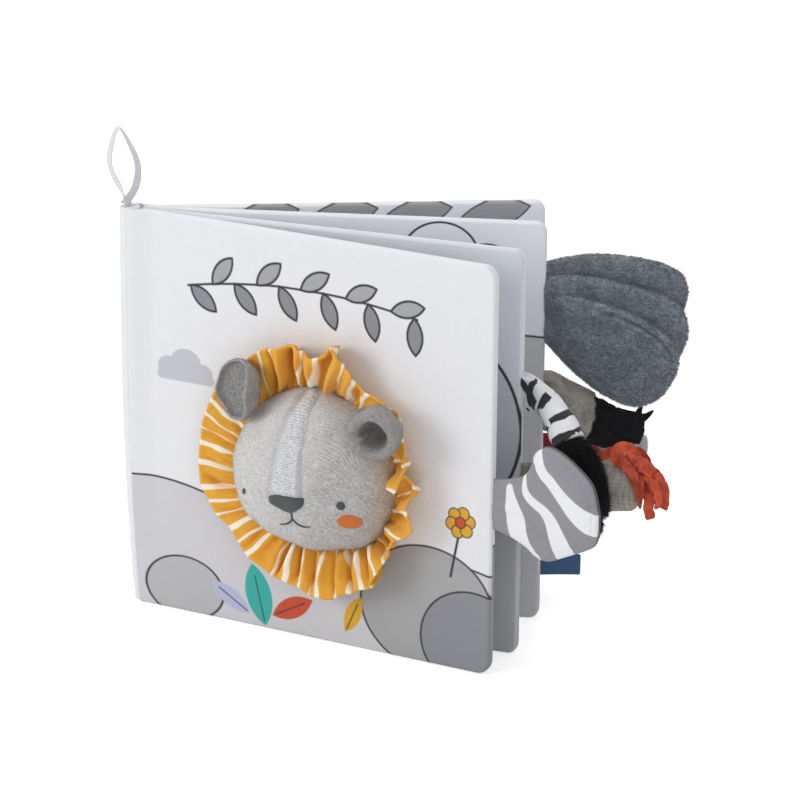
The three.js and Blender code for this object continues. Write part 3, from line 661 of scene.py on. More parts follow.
prints = {
    # discs as middle, half width, half height and fill
    "coverDiscs": [(158, 26, 34, 30, "A9A9AB"), (181, 14, 26, 24, "8E8F96"),
                   (30, 12, 21, 15, "B9B9BC")],
    "coverCloud": [(22, 118, 6.0, 4.8), (31, 121, 8.0, 6.4), (40, 117, 5.5, 4.4)],
    "cloudFoot": ((18, 114), (44, 114), 2.4),
    "cloudGrey": "C3C5CC",
    "bough": (98, -140, 305),  # middle and radius of the circle that it bends along
    # leaves as middle, tilt in degrees, length, width and fill
    "leaves": [(70, 16, 104, 30, 14, "3FAFA6"), (88, 13, 28, 24, 10, "C9543A"),
               (55, 12, 150, 24, 9, "B5BCD8"), (120, 16, 66, 20, 8, "DDA83A")],
    "flower": (174.5, 70.0, 4.6),  # middle, and how far out its petals are
    "hillDiscs": [(147.5, 105, 42.5, 46, "C4C6CB", 1.5), (70, 20, 50, 56, "9B9CA2", 1.1)],
    "cloudDiscs": [(121, 169, 13.0), (142, 173, 17.0), (163, 168, 12.0)],
    "dots": ["B5BCD8", "3FAFA6", "DDA83A"],
}


def coverPrint():
    shade = Shade("cover_front_cloth", roughness=0.82, sheen=0.08)
    x, z = shade.places()
    colour = ground(shade, x, z, 60.2, -0.09, 5.0, "E8E9ED", "CFCED2")
    for *disc, tone in prints["coverDiscs"]:
        colour = paint(shade, colour, discOf(x, z, *disc), tone, ink)
    for disc in prints["coverCloud"]:
        colour = paint(shade, colour, discOf(x, z, *disc), prints["cloudGrey"])
    colour = paint(shade, colour, barOf(x, z, *prints["cloudFoot"]), prints["cloudGrey"])
    boughX, boughZ, bend = prints["bough"]
    bough = abs(discOf(x, z, boughX, boughZ, bend, bend)) - 0.55
    colour = shade.mix(inside(bough) * inside(abs(x - 92) - 60), colour, ink)
    for k in range(11):
        cx = 34 + 11.6 * k
        stemZ = boughZ + math.sqrt(bend ** 2 - (cx - boughX) ** 2)
        tilt = 58 - 5 * k + (0 if k % 2 else -96)
        c, s = cosSin(tilt)
        blade = leafOf(x, z, cx + 8.5 * c, stemZ + 8.5 * s, tilt, 17, 7.5)
        colour = paint(shade, colour, blade, ("8E8F94", "A8A9AC")[k % 2], ink, 1.1)
    for cx, cz, degrees, length, width, tone in prints["leaves"]:
        colour = paint(shade, colour, leafOf(x, z, cx, cz, degrees, length, width), tone)
        c, s = cosSin(degrees)
        ends = [(cx + c * length * share, cz + s * length * share) for share in (-0.42, 0.3)]
        colour = paint(shade, colour, barOf(x, z, *ends, 0.3), ink)
    colour = paint(shade, colour, barOf(x, z, (170, 44), (174, 66), 0.6), ink)
    cx, cz, out = prints["flower"]
    for k in range(6):
        c, s = cosSin(60 * k + 12)
        petal = discOf(x, z, cx + out * c, cz + out * s, 3.0, 3.0)
        colour = paint(shade, colour, petal, "DDA83A", ink, 0.6)
    colour = paint(shade, colour, discOf(x, z, cx, cz, 2.6, 2.6), "C9543A", ink, 0.6)
    return woven(shade, colour, x, z)


def innerPrint(name, sky, land, motif, level=56.0):
    shade = Shade(name, roughness=0.82, sheen=0.08)
    x, z = shade.places()
    colour = ground(shade, x, z, level, 0.01, 4.0, sky, land)
    if motif == "hills":
        for *disc, tone, width in prints["hillDiscs"]:
            colour = paint(shade, colour, discOf(x, z, *disc), tone, ink, width)
    if motif == "clouds":
        for cx, cz, r in prints["cloudDiscs"]:
            colour = paint(shade, colour, discOf(x, z, cx, cz, r, r * 0.9), None, ink, 1.1)
        for cx, cz, r in [*prints["cloudDiscs"], (142, 164, 11.6)]:
            colour = paint(shade, colour, discOf(x, z, cx, cz, r - 0.6, (r - 0.6) * 0.9), sky)
    if motif == "boughs":
        for cx in (60, 96, 130, 166):
            colour = paint(shade, colour, leafOf(x, z, cx, 184, 12, 34, 13), "A0A1A5", ink, 0.7)
    if motif == "dots":
        for k in range(6):
            dot = discOf(x, z, 40 + 26 * k, 108 + 34 * math.sin(1.7 * k), 4.5, 4.5)
            colour = paint(shade, colour, dot, prints["dots"][k % 3])
    for k, tone in enumerate(("8E8F94", "B5BCD8", "8E8F94")):
        colour = paint(shade, colour, discOf(x, z, 30 + 52 * k, 10, 15, 9), tone)
    return woven(shade, colour, x, z, seed=7.0)


hills = innerPrint("page_cloth_hills", "D6DAE1", "B7B8BB", "hills")
clouds = innerPrint("page_cloth_clouds", "E4E7EC", "B7B8BB", "clouds")
slope = innerPrint("page_cloth_slope", "E6E9EE", "C2C3C7", "clouds", 131.0)
boughs = innerPrint("page_cloth_boughs", "ECEEF2", "A6A7A9", "boughs")
dots = innerPrint("page_cloth_dots", "E6E8EC", "9A9B9E", "dots")
makePage("front_cover", 11, coverPrint(), dots)
makePage("leaf_one", 21, hills, clouds)
makePage("leaf_two", 31, slope, dots)
makePage("back_cover", 41, boughs, dots)


# Spine, hanging loop and label

spine = {
    "radius": 5.0,
    "round": 1.2,
    "seam": 0.5,
    "around": 72,
    "rows": 90,
    "mouth": -17.5,  # where the seam faces, in degrees
    # rings of both ends: share of the radius, and how far sunk in mm
    "rim": [(0.4, 0.75), (0.74, 0.7), (0.82, 0.0)],
    "drawn": (4.4, 1.2),  # how far the foot is pulled towards the pages, and how much slimmer it is
}


def plainCloth(name, tone, pitch=0.55, depth=0.05):
    shade = Shade(name, roughness=0.85, sheen=0.08)
    x, z = shade.places()
    return woven(shade, shade.mix(0.0, tone, tone), x, z, pitch, depth)


def makeSpine():
    # A round wrap: circles up the spine that draw in at both ends, with a seam that faces the
    # pages. Its own edge shows at both ends, round a slightly sunken core.
    s, side = spine, pages["side"]
    t = np.linspace(0, quarter, 7)
    up, draw = s["round"] * (1 - np.cos(t)), s["round"] * (1 - np.sin(t))
    z = np.concatenate([up, np.linspace(3, side - 3, s["rows"]), side - up[::-1]])
    draw = np.concatenate([draw, np.zeros(s["rows"]), draw[::-1]])
    zz, tt = np.meshgrid(z, circle(s["around"]), indexing="ij")
    radius = (s["radius"] - 0.15 - draw[:, None] - s["seam"] * bump(gapTo(tt, s["mouth"]), 0.09)
              + 0.09 * waves(tt * 5, zz, 13, 5) * smooth(zz, 0, 8))
    radius = radius - s["drawn"][1] * spineFoot(zz)
    rings = np.stack([radius * np.cos(tt), radius * np.sin(tt), zz], -1)
    foot, top = (np.stack([rings[k] * [share, share, 1] + [0, 0, way * sink]
                           for share, sink in s["rim"]]) for k, way in ((0, 1), (-1, -1)))
    rings = np.concatenate([foot, rings, top[::-1]])
    rings[..., 0] += s["drawn"][0] * spineFoot(rings[..., 2])
    around = np.linspace(0, wholeTurn * s["radius"], s["around"] + 1)
    makePiece("spine_wrap", Form().tube(rings, together(around[None], rings[:, :1, 2])),
              plainCloth("spine_cloth", "E9EAED"), "back_cover", ["spine_cloth", "spine_seam_core"])


loop = {
    "width": 5.6,
    "thickness": 0.9,
    # x and z of the ribbon's middle from the spine's top, and how far its face turns to the front
    "route": [(-1.0, 0.5, -50), (-4.6, 8.5, 26), (-9.0, 19.0, 22), (-8.2, 28.5, 16),
              (-5.0, 36.4, 4), (-0.4, 29.5, -14), (3.4, 19.5, -28), (2.6, 9.0, -46),
              (-2.4, 0.5, -60)],
    "apart": 1.1,
}


def ribbonForm(middle, across, width, thickness):
    # A ribbon with rounded edges: a flat oval carried along a path.
    along = unit(np.gradient(middle, axis=0))
    across = unit(across - along * (across * along).sum(1, keepdims=True))
    turn = circle(28)
    wide = squared(np.cos(turn), 0.5)[None, :, None] * width / 2
    thin = squared(np.sin(turn), 0.6)[None, :, None] * thickness / 2
    rings = middle[:, None] + across[:, None] * wide + np.cross(along, across)[:, None] * thin
    spots = np.linspace(0, 2 * width, 29)
    return Form().tube(rings, together(spots[None], runLength(middle)[:, None]))


def ribbed(name, tone, dark, pitch):
    # Grosgrain: ribs across the ribbon.
    shade = Shade(name, roughness=0.7, sheen=0.1)
    ribs = shade.places()[1].ribs(pitch)
    fine = shade.noise(shade.room(), 0.8, 2.0)
    return shade.dressed(shade.mix(ribs * 0.5 + fine * 0.3, dark, tone), ribs + fine * 0.4, 0.14)


def makeLoop():
    # The route crosses itself at the foot, where its two ends lie one behind the other.
    t = np.linspace(0, 1, 90)
    walk = curveThrough(loop["route"], t)
    crossing = loop["apart"] * (2 * t - 1) * (1 - np.sin(math.pi * t))
    middle = np.stack([walk[:, 0], crossing, walk[:, 1] + pages["side"]], -1)
    face = np.radians(walk[:, 2])
    across = np.stack([np.sin(face), -np.cos(face), 0 * t], -1)
    makePiece("hanging_ribbon", ribbonForm(middle, across, loop["width"], loop["thickness"]),
              ribbed("loop_ribbon", "EFF0F2", "D6D7DB", 0.9), "back_cover", ["hanging_loop"])


label = {"start": 190.4, "length": 19.4, "bottom": 7.0, "height": 10.0, "ply": 0.6, "gap": 0.3,
         "bend": 1.2}


def makeLabel():
    # A ribbon folded on itself: out along one side, round the fold and back along the other.
    q = label
    half = q["ply"] / 2 + q["gap"] / 2
    run = np.linspace(0, q["length"] - half, 16)
    turn = np.linspace(-quarter, quarter, 9)[1:-1]
    x = np.concatenate([run, q["length"] - half + half * np.cos(turn), run[::-1]])
    y = np.concatenate([-half * np.ones(16), half * np.sin(turn), half * np.ones(16)])
    y = y - q["bend"] * (x / q["length"]) ** 2
    middle = np.stack([x + q["start"], y, np.full(len(x), q["bottom"] + q["height"] / 2)], -1)
    across = np.repeat([[0.0, 0.0, 1.0]], len(x), 0)
    makePiece("label_ribbon", ribbonForm(middle, across, q["height"], q["ply"]),
              plainCloth("label_ribbon", "47648A", 0.4, 0.04), "back_cover", ["side_label"])


makeSpine()
makeLoop()
makeLabel()
print("pages, spine, loop and label made")


# The lion's head on the front cover

lion = {
    "middle": (102.4, -2.8, 84.0),
    "halfWidth": 41.0,
    "halfHeight": 37.6,
    "narrowing": 0.06,
    # angle, spread in degrees and the share that the jaw widens there
    "jaw": [(-46, 20, 0.075), (-128, 22, 0.02)],
    "depth": 26.4,
    "roundness": 0.85,
    "muzzle": (3.2, 14.0, 11.0),  # rise, spread and drop in mm
    "stripe": (3.9, 8.8, -7.0),  # half width at the crown and at its foot, and the foot's z
    # x, z, height and square of the spread of each swell, and whether it is on both sides
    "swells": [(26, -14.5, 1.3, 190, True), (21, -2, -0.8, 50, True), (-26, 30, -1.5, 60, False),
               (34, 24, -1.5, 60, False), (0, -9.5, 0.6, 90, False), (1.4, -17.6, -0.7, 14, False)],
}
faceAngle = pages["angles"]["front_cover"]


def onCover(points):
    return turned(np.asarray(points) + lion["middle"], -faceAngle)


def headOutline(turn, grow=0.0):
    # An oval that narrows to the crown and widens at the jaw.
    q = lion
    wide = 1 + sum(share * bump(gapTo(turn, at), math.radians(spread))
                   for at, spread, share in q["jaw"])
    crown = 1 - q["narrowing"] * np.maximum(0, np.sin(turn))
    return ((q["halfWidth"] + grow) * np.cos(turn) * crown * wide,
            (q["halfHeight"] + grow) * np.sin(turn) * wide)


def headPoint(turn, rise):
    # The outline draws in by cos(rise)^0.85 while the depth grows by sin(rise)^0.85, and a bell
    # lifts the muzzle.
    q = lion
    x, z = headOutline(turn)
    draw = np.maximum(np.cos(rise), 0) ** q["roundness"]
    x, z = x * draw, z * draw
    lift = np.maximum(np.sin(rise), 0)
    high, spread, drop = q["muzzle"]
    bell = high * np.exp(-(x * x + (z + drop) ** 2) / (2 * spread ** 2))
    return np.stack([x, -(q["depth"] * lift ** q["roundness"] + bell * lift), z], -1)


riseTable = np.linspace(0.02, math.pi / 2, 400)
drawTable = np.cos(riseTable) ** lion["roundness"]


def headUnder(x, z):
    # The plain dome's point in front of x and z: the same rings read backwards.
    turn = np.arctan2(z, x)
    for _ in range(12):
        wide, high = headOutline(turn)
        turn = turn + np.arctan2(z, x) - np.arctan2(high, wide)
    wide, high = headOutline(turn)
    far = np.hypot(x, z) / np.hypot(wide, high)
    return headPoint(turn, np.interp(-far, -drawTable, riseTable))


def stripeHalf(z):
    top, foot, low = lion["stripe"]
    down = (lion["halfHeight"] - z) / (lion["halfHeight"] - low)
    return top + (foot - top) * np.clip(down, 0, 1.1)


def stripeMiddle(z):
    return -0.3 - 1.3 * bump(z - 6, 16)


def headRelief(x, z):
    # How far the stuffed velour stands out from the dome: seams sink beside the stripe, the panels
    # next to them and the swells rise or sink as bells, and one crease crosses the forehead.
    aside = np.abs(x - stripeMiddle(z)) - stripeHalf(z)
    seam = smooth(z, -12.5, -5)
    deep = np.where(x < 0, 1.35, 0.95) * (1 + 0.9 * smooth(z, 24, 37))
    relief = -deep * bump(aside, 1.5) * seam + 0.8 * bump(aside - 8, 6.5) * seam
    for cx, cz, high, spread, both in lion["swells"]:
        aside = np.abs(x) - cx if both else x - cx
        relief = relief + high * np.exp(-(aside ** 2 + (z - cz) ** 2) / spread)
    crease = bump((z - 23.5) - 0.3 * (x - 21), 2.3) * smooth(x, 10, 22) * (1 - smooth(x, 30, 36))
    relief = relief - 0.9 * crease + 0.7 * bump((z - 29) - 0.3 * (x - 21), 4.5) * smooth(x, 8, 20)
    return relief + 0.35 * waves(x, z, 24, 3) + 0.12 * waves(x, z, 9, 4)


def headAt(x, z, lift=0.0):
    # The finished skin in front of x and z, with a lift along its normal.
    x, z = np.broadcast_arrays(np.asarray(x, float), np.asarray(z, float))
    step = 0.05
    base = headUnder(x, z)
    slopeX = (headUnder(x + step, z) - headUnder(x - step, z))[..., 1] / (2 * step)
    slopeZ = (headUnder(x, z + step) - headUnder(x, z - step))[..., 1] / (2 * step)
    normal = unit(np.stack([slopeX, -np.ones(x.shape), slopeZ], -1))
    return base + normal * (headRelief(x, z) + lift)[..., None]


def gridNormals(points, wrap=False):
    # The cross product of the differences along both directions of a grid.
    a = np.roll(points, -1, 0) - np.roll(points, 1, 0) if wrap else np.gradient(points, axis=0)
    return unit(np.cross(a, np.gradient(points, axis=1)))


def velour(name, light, dark, knit=False, depth=0.22):
    # Short pile: blotches where it lies another way and fine grain. Knit rows follow the second
    # pattern place and darken more towards the right, partly as the knit and partly as painted
    # shade away from the light; the left is painted lighter.
    shade = Shade(name, roughness=0.95, sheen=0.35)
    room = shade.room()
    blotch = shade.noise(room, 11.0, 3.0, 0.6, 2.0)
    grain = shade.noise(room, 0.75, 3.0, 0.7, 5.0)
    fleck = shade.noise(room, 2.2, 2.0, 0.6, 9.0)
    speck = shade.noise(room, 1.15, 3.0, 0.75, 31.0).step(0.36, 0.64)
    share = blotch * 0.2 + grain * 0.3 + fleck * 0.16 + speck * 0.34
    height = grain * 0.7 + fleck * 0.4 + speck * 0.5
    if knit:
        x, row = shade.places()
        patchy = shade.noise(room, 7.0, 2.0, 0.5, 21.0).step(0.3, 0.6)
        dash = shade.noise(shade.vector(x * 0.6, row * 1.5), 1.5, 2.0, 0.6, 41.0).step(0.36, 0.6)
        rows = (row + grain * 1.1 + fleck * 0.8).ribs(1.0)
        rows = rows * (dash * 0.75 + 0.25)
        low = 1.0 - row.step(8.0, 34.0) * 0.7
        # Painted shade: the knit rows darken the right side more strongly, as well as showing the
        # knit.
        knitAndShade = (x.step(-10.0, 26.0) * low * 0.62 + 0.06) * (patchy * 0.5 + 0.5)
        # Painted light: the left side of the head, towards the light, is painted lighter.
        share = share + 0.05 - rows * knitAndShade + (1.0 - x.step(-26.0, 2.0)) * 0.16
        height = height + rows * knitAndShade * -1.2
    return shade.dressed(shade.mix(share.clamp(), dark, light), height, depth)


lionVelour = velour("lion_velour", "EAE8E7", "A3A1A0", knit=True)
earVelour = velour("ear_velour", "BBB9B8", "757372")


def knitRow(x, z):
    # Rows lie level on the left and turn downwards by a square law on the right cheek.
    return z + np.maximum(x - 8, 0) ** 2 / 40 * smooth(30 - z, 0, 22) + 1.6 * waves(x, z, 38, 15)


naps = {
    # the fibres on napped pieces: how many, their length and thickness in mm, which way and how
    # far they lean, how far they spread and how much they droop
    "head": dict(count=30000, length=0.6, thick=0.07, lean=(0, -0.3, -0.6), leaning=0.7, seed=5),
    "ear": dict(count=9000, length=0.8, thick=0.08, lean=(0, -0.2, -0.5), seed=8),
    "plume": dict(count=36000, length=1.7, thick=0.12, lean=(0.75, 0, -0.35), leaning=1.0,
                  spread=0.4),
    "suede": dict(count=14000, length=1.0, thick=0.09, lean=(0.4, 0, -0.5), leaning=0.8, seed=55),
    "blackFelt": dict(count=9000, length=0.6, thick=0.09, leaning=0.2, seed=58),
    "fur": dict(count=17000, length=3.6, thick=0.16, lean=(0.25, 0, -1), leaning=0.75, seed=74,
                bend=0.3, spread=0.4),
    "orangeFelt": dict(count=7000, length=0.4, thick=0.06, leaning=0.1, seed=98),
    "redVelour": dict(count=7000, length=0.8, thick=0.08, lean=(0.5, 0, -0.5), leaning=0.9,
                      seed=112),
    "plush": dict(count=14000, length=2.2, thick=0.13, lean=(0.5, 0, -0.3), leaning=0.4, seed=114,
                  bend=0.2, spread=0.5),
}


def makeHead():
    # Rings of the dome, pushed out along their normals by the relief, over a foot that lies
    # flat on the cover.
    rise = quarter * np.linspace(0, 0.995, 110) ** 0.9
    turns, rises = np.meshgrid(circle(300), rise, indexing="ij")
    base = headPoint(turns, rises)
    normals = gridNormals(base, wrap=True)
    normals = normals * np.sign(-normals[..., 1:2] + 1e-9)
    normals[:, :3] = unit(np.stack([np.cos(turns), 0 * turns, np.sin(turns)], -1)[:, :3])
    relief = headRelief(base[..., 0], base[..., 2]) * smooth(rises, 0.0, 0.35)
    rings = np.swapaxes(base + normals * relief[..., None], 0, 1)
    rings = np.concatenate([rings[:1] * [1, 0, 1] + [0, 0.6, 0], rings])
    spots = np.stack([rings[..., 0], knitRow(rings[..., 0], rings[..., 2])], -1)
    form = Form().tube(rings, closed(spots))
    form.fibres(**naps["head"], keep=lambda normal: normal[:, 1] < 0.1)
    makePiece("lion_head", form, lionVelour, "front_cover",
              ["lion_head_left", "lion_head_right", "lion_head_stuffing"], onCover)


def makeStripe():
    # Cloth let in between the cheek panels: its long edges dive into the seams.
    z = np.concatenate([np.linspace(-10.5, 30, 70), np.linspace(30.5, 37.45, 26)])
    zz, ss = np.meshgrid(z, np.linspace(-1, 1, 41), indexing="ij")
    half = stripeHalf(zz) + 0.4
    x = stripeMiddle(zz) + ss * half
    lift = 0.75 * (1 - ss ** 4) + 0.45 * (1 - np.abs(ss)) - 0.5 + 0.07 * waves(x, zz, 6, 8)
    lift = lift + 0.52 * bump(np.abs(ss * half) - half, 1.5) - 0.9 * smooth(-zz, 4, 8.5)
    top = headAt(x, zz, lift)
    under = headAt(x, zz, lift - 1.4)
    form = Form().pillow(top, under, np.stack([ss * half, zz], -1))
    shade = Shade("stripe_cloth", roughness=0.6, sheen=0.1)
    across, along = shade.places()
    fine = shade.noise(shade.room(), 0.7, 3.0, 0.7)
    rows, wales = along.ribs(1.1, fine * 1.5), across.ribs(0.8, fine * 2.0)
    high = along.step(10, 40)
    plain = across.step(5.2, 5.8) * (1.0 - high) + across.step(3.4, 4.2) * high
    lumps = shade.noise(shade.room(), 1.3, 2.0, 0.7, 17.0).step(0.35, 0.65)
    texture = rows * 0.3 + wales * 0.2 + fine * 0.4 + lumps * 0.35
    texture = texture * (1.0 - plain * 0.7) + plain * 0.25
    colour = shade.mix(texture.step(0.2, 0.8), "9FA1A6", "DADBDE")
    makePiece("lion_stripe", form, shade.dressed(colour, texture, 0.3), "front_cover",
              ["lion_forehead_stripe"], place=onCover)


def headPatch(name, outline, middle, high, material, domed=1.0):
    # Embroidery: rings from under the skin out to the outline and in over a low dome.
    shares = np.linspace(0.97, 0.06, 12)
    lifts = np.concatenate([[-0.9, -0.9, -0.7, 0.05],
                            high * (0.55 + 0.45 * domed * (1 - shares ** 2))])
    shares = np.concatenate([[0.35, 0.8, 1.0, 1.0], shares])
    flat = middle + (outline - middle) * shares[:, None, None]
    rings = headAt(flat[..., 0], flat[..., 1], np.repeat(lifts[:, None], len(outline), 1))
    makePiece(name, Form().tube(rings, closed(flat)), material, "front_cover", [name],
              place=onCover)


def ovalRing(cx, cz, rx, rz, degrees=0):
    c, s = cosSin(degrees)
    x, z = rx * np.cos(circle(40)), rz * np.sin(circle(40))
    return np.stack([cx + x * c - z * s, cz + x * s + z * c], -1)


def embroidery(name, light, dark, pitch=0.45, along=0):
    # Satin stitches lie side by side across the shape.
    shade = Shade(name, roughness=0.55, sheen=0.2)
    spots = shade.places()
    fine = shade.noise(shade.room(), 1.1, 3.0)
    rows = spots[along].ribs(pitch, fine * 5.0)
    return shade.dressed(shade.mix((rows * 0.6 + fine * 0.5).clamp(), dark, light), rows, 0.12)


face = {
    "nose": [(-9.5, -7.5), (-8.6, -6.9), (-5.3, -6.0), (-0.7, -5.6), (4.4, -5.5), (8.3, -5.6),
             (8.3, -7.6), (7.6, -9.4), (4.8, -11.7), (1.8, -13.3), (-1.0, -12.9), (-4.0, -11.8),
             (-8.1, -10.4), (-9.3, -9.0), (-9.5, -7.5)],
    "noseMiddle": (0.0, -8.9),
    # middle, half width, half height and, for the eyes, a roll in degrees
    "eyes": {"left": (-26.0, -10.0, 1.1, 1.4, -20), "right": (24.2, -7.4, 1.75, 1.9, 0)},
    "cheeks": {"left": (-35.2, -16.5, 2.1, 3.4), "right": (27.0, -15.1, 4.7, 3.4)},
    "mouth": [[(1.9, -12.6), (1.7, -14.9), (1.3, -17.4)],
              [(1.3, -17.2), (0.4, -18.6), (-0.8, -19.5), (-3.0, -20.5), (-5.9, -21.1)],
              [(1.3, -17.2), (3.4, -18.9), (5.7, -19.5), (7.7, -19.5), (10.0, -19.2)]],
    "thread": 0.48,
}


def makeFace():
    # Nose, eyes and cheeks are low domes, and the mouth is three round threads along curves that
    # taper at their ends.
    dark = embroidery("dark_embroidery", "565B5C", "33383A")
    orange = embroidery("orange_embroidery", "E2813A", "BC5A1E", 0.5, 1)
    nose = curveThrough(face["nose"], np.linspace(0, 1, 85)[:-1])
    headPatch("lion_nose", nose, face["noseMiddle"], 1.5, dark, 0.5)
    for side in ("left", "right"):
        eye, cheek = face["eyes"][side], face["cheeks"][side]
        headPatch(f"lion_eye_{side}", ovalRing(*eye), eye[:2], 0.7, dark)
        headPatch(f"lion_cheek_{side}", ovalRing(*cheek), cheek[:2], 0.5, orange)
    form, t, turn = Form(), np.linspace(0, 1, 40), circle(10)
    for route in face["mouth"]:
        x, z = curveThrough(route, t).T
        middle = headAt(x, z, 0.16)
        out = unit(headAt(x, z, 1.0) - headAt(x, z, 0.0))
        side = unit(np.cross(unit(np.gradient(middle, axis=0)), out))
        thick = face["thread"] * (1 - 0.45 * smooth(t, 0.55, 1))
        form.tube(middle[:, None] + thick[:, None, None] * (
            side[:, None] * np.cos(turn)[None, :, None]
            + out[:, None] * np.sin(turn)[None, :, None]), size=(12, 3))
    makePiece("lion_mouth", form, dark, "front_cover", ["lion_mouth_stitching"], place=onCover)


ears = {
    # place of the cup's back, width, height and depth, how steep its sides are, wall on the left
    # and on the right, roll in the cover's plane, turn about the upright, nod forwards, how much
    # deeper the cup is on the left and on the right, and the notch in the rim with its depth,
    # angle, spread and pinch
    "left": dict(place=(-31.4, -12.0, 34.8), size=(27.0, 27.6, 6.0), steep=0.55, wall=(0.9, 2.1),
                 roll=4, turn=-12, nod=-6, deeper=(0.0, 9.0), notch=(2.0, -75, 0.42, 0.0), seed=2),
    "right": dict(place=(39.2, -10.0, 29.9), size=(24.0, 24.0, 14.0), steep=0.85, wall=(5.4, 4.8),
                  roll=0, turn=8, nod=6, deeper=(2.0, 2.0), notch=(9.0, 197, 0.25, 0.68), seed=6),
}


def makeEar(side):
    # A thick cup: an outer bowl, a rounded rim and an inner bowl, all as rings about one axis,
    # deeper at one side, with a notch in the rim where the ear meets the head.
    q = ears[side]
    wide, tall, deep = q["size"]
    thin, wall = q["wall"]
    t = np.linspace(0.04, 1, 26) * quarter
    outer = np.stack([np.sin(t) ** q["steep"], 1 - np.cos(t) ** 0.9], -1)
    rim = np.linspace(0, math.pi, 14)[1:-1, None]
    angle = circle(96)[None]
    fall, notchAt, spread, pinch = q["notch"]
    down = bump(gapTo(angle, notchAt), spread)
    walls = (thin + (wall - thin) * smooth(np.cos(angle), -0.4, 0.8)) * (1 - pinch * down)
    share = 2 * walls / (wide + tall)
    far = np.concatenate([outer[:, :1] + 0 * share, 1 - share + share * np.cos(rim),
                          outer[::-1, :1] * (1 - 2 * share)])
    out = np.concatenate([outer[:, 1:] + 0 * share, 1 + share * 1.1 * np.sin(rim),
                          1 - (1 - outer[::-1, 1:]) * (1 - 0.8 * wall / deep) + 0 * share])
    far = far * (1 - pinch * down * far)
    x = far * np.cos(angle) * wide / 2 * (1 - 0.12 * smooth(-np.sin(angle), 0.2, 1.0))
    z = far * np.sin(angle) * tall / 2
    deeper = np.where(np.cos(angle) < 0, q["deeper"][0], q["deeper"][1])
    lift = np.clip(out, 0, 1) * deeper * np.cos(angle) ** 2
    lift = lift - far ** 2 * (fall * down + 1.2 * np.maximum(np.sin(angle), 0))
    y = -(out * deep + lift)
    rings = np.stack(np.broadcast_arrays(x, y, z), -1)
    rings = rings + 0.35 * waves(x + out * 3, z, 13, q["seed"])[..., None] * [0.6, 1.0, 0.6]
    spin = (Matrix.Rotation(math.radians(q["turn"]), 3, "Z")
            @ Matrix.Rotation(math.radians(q["nod"]), 3, "X")
            @ Matrix.Rotation(math.radians(-q["roll"]), 3, "Y"))
    rings = rings @ np.array(spin).T + q["place"]
    form = Form().tube(rings, closed(rings[..., [0, 2]])).fibres(**naps["ear"])
    makePiece(f"lion_ear_{side}", form, earVelour, "front_cover", [f"lion_ear_{side}"],
              onCover)


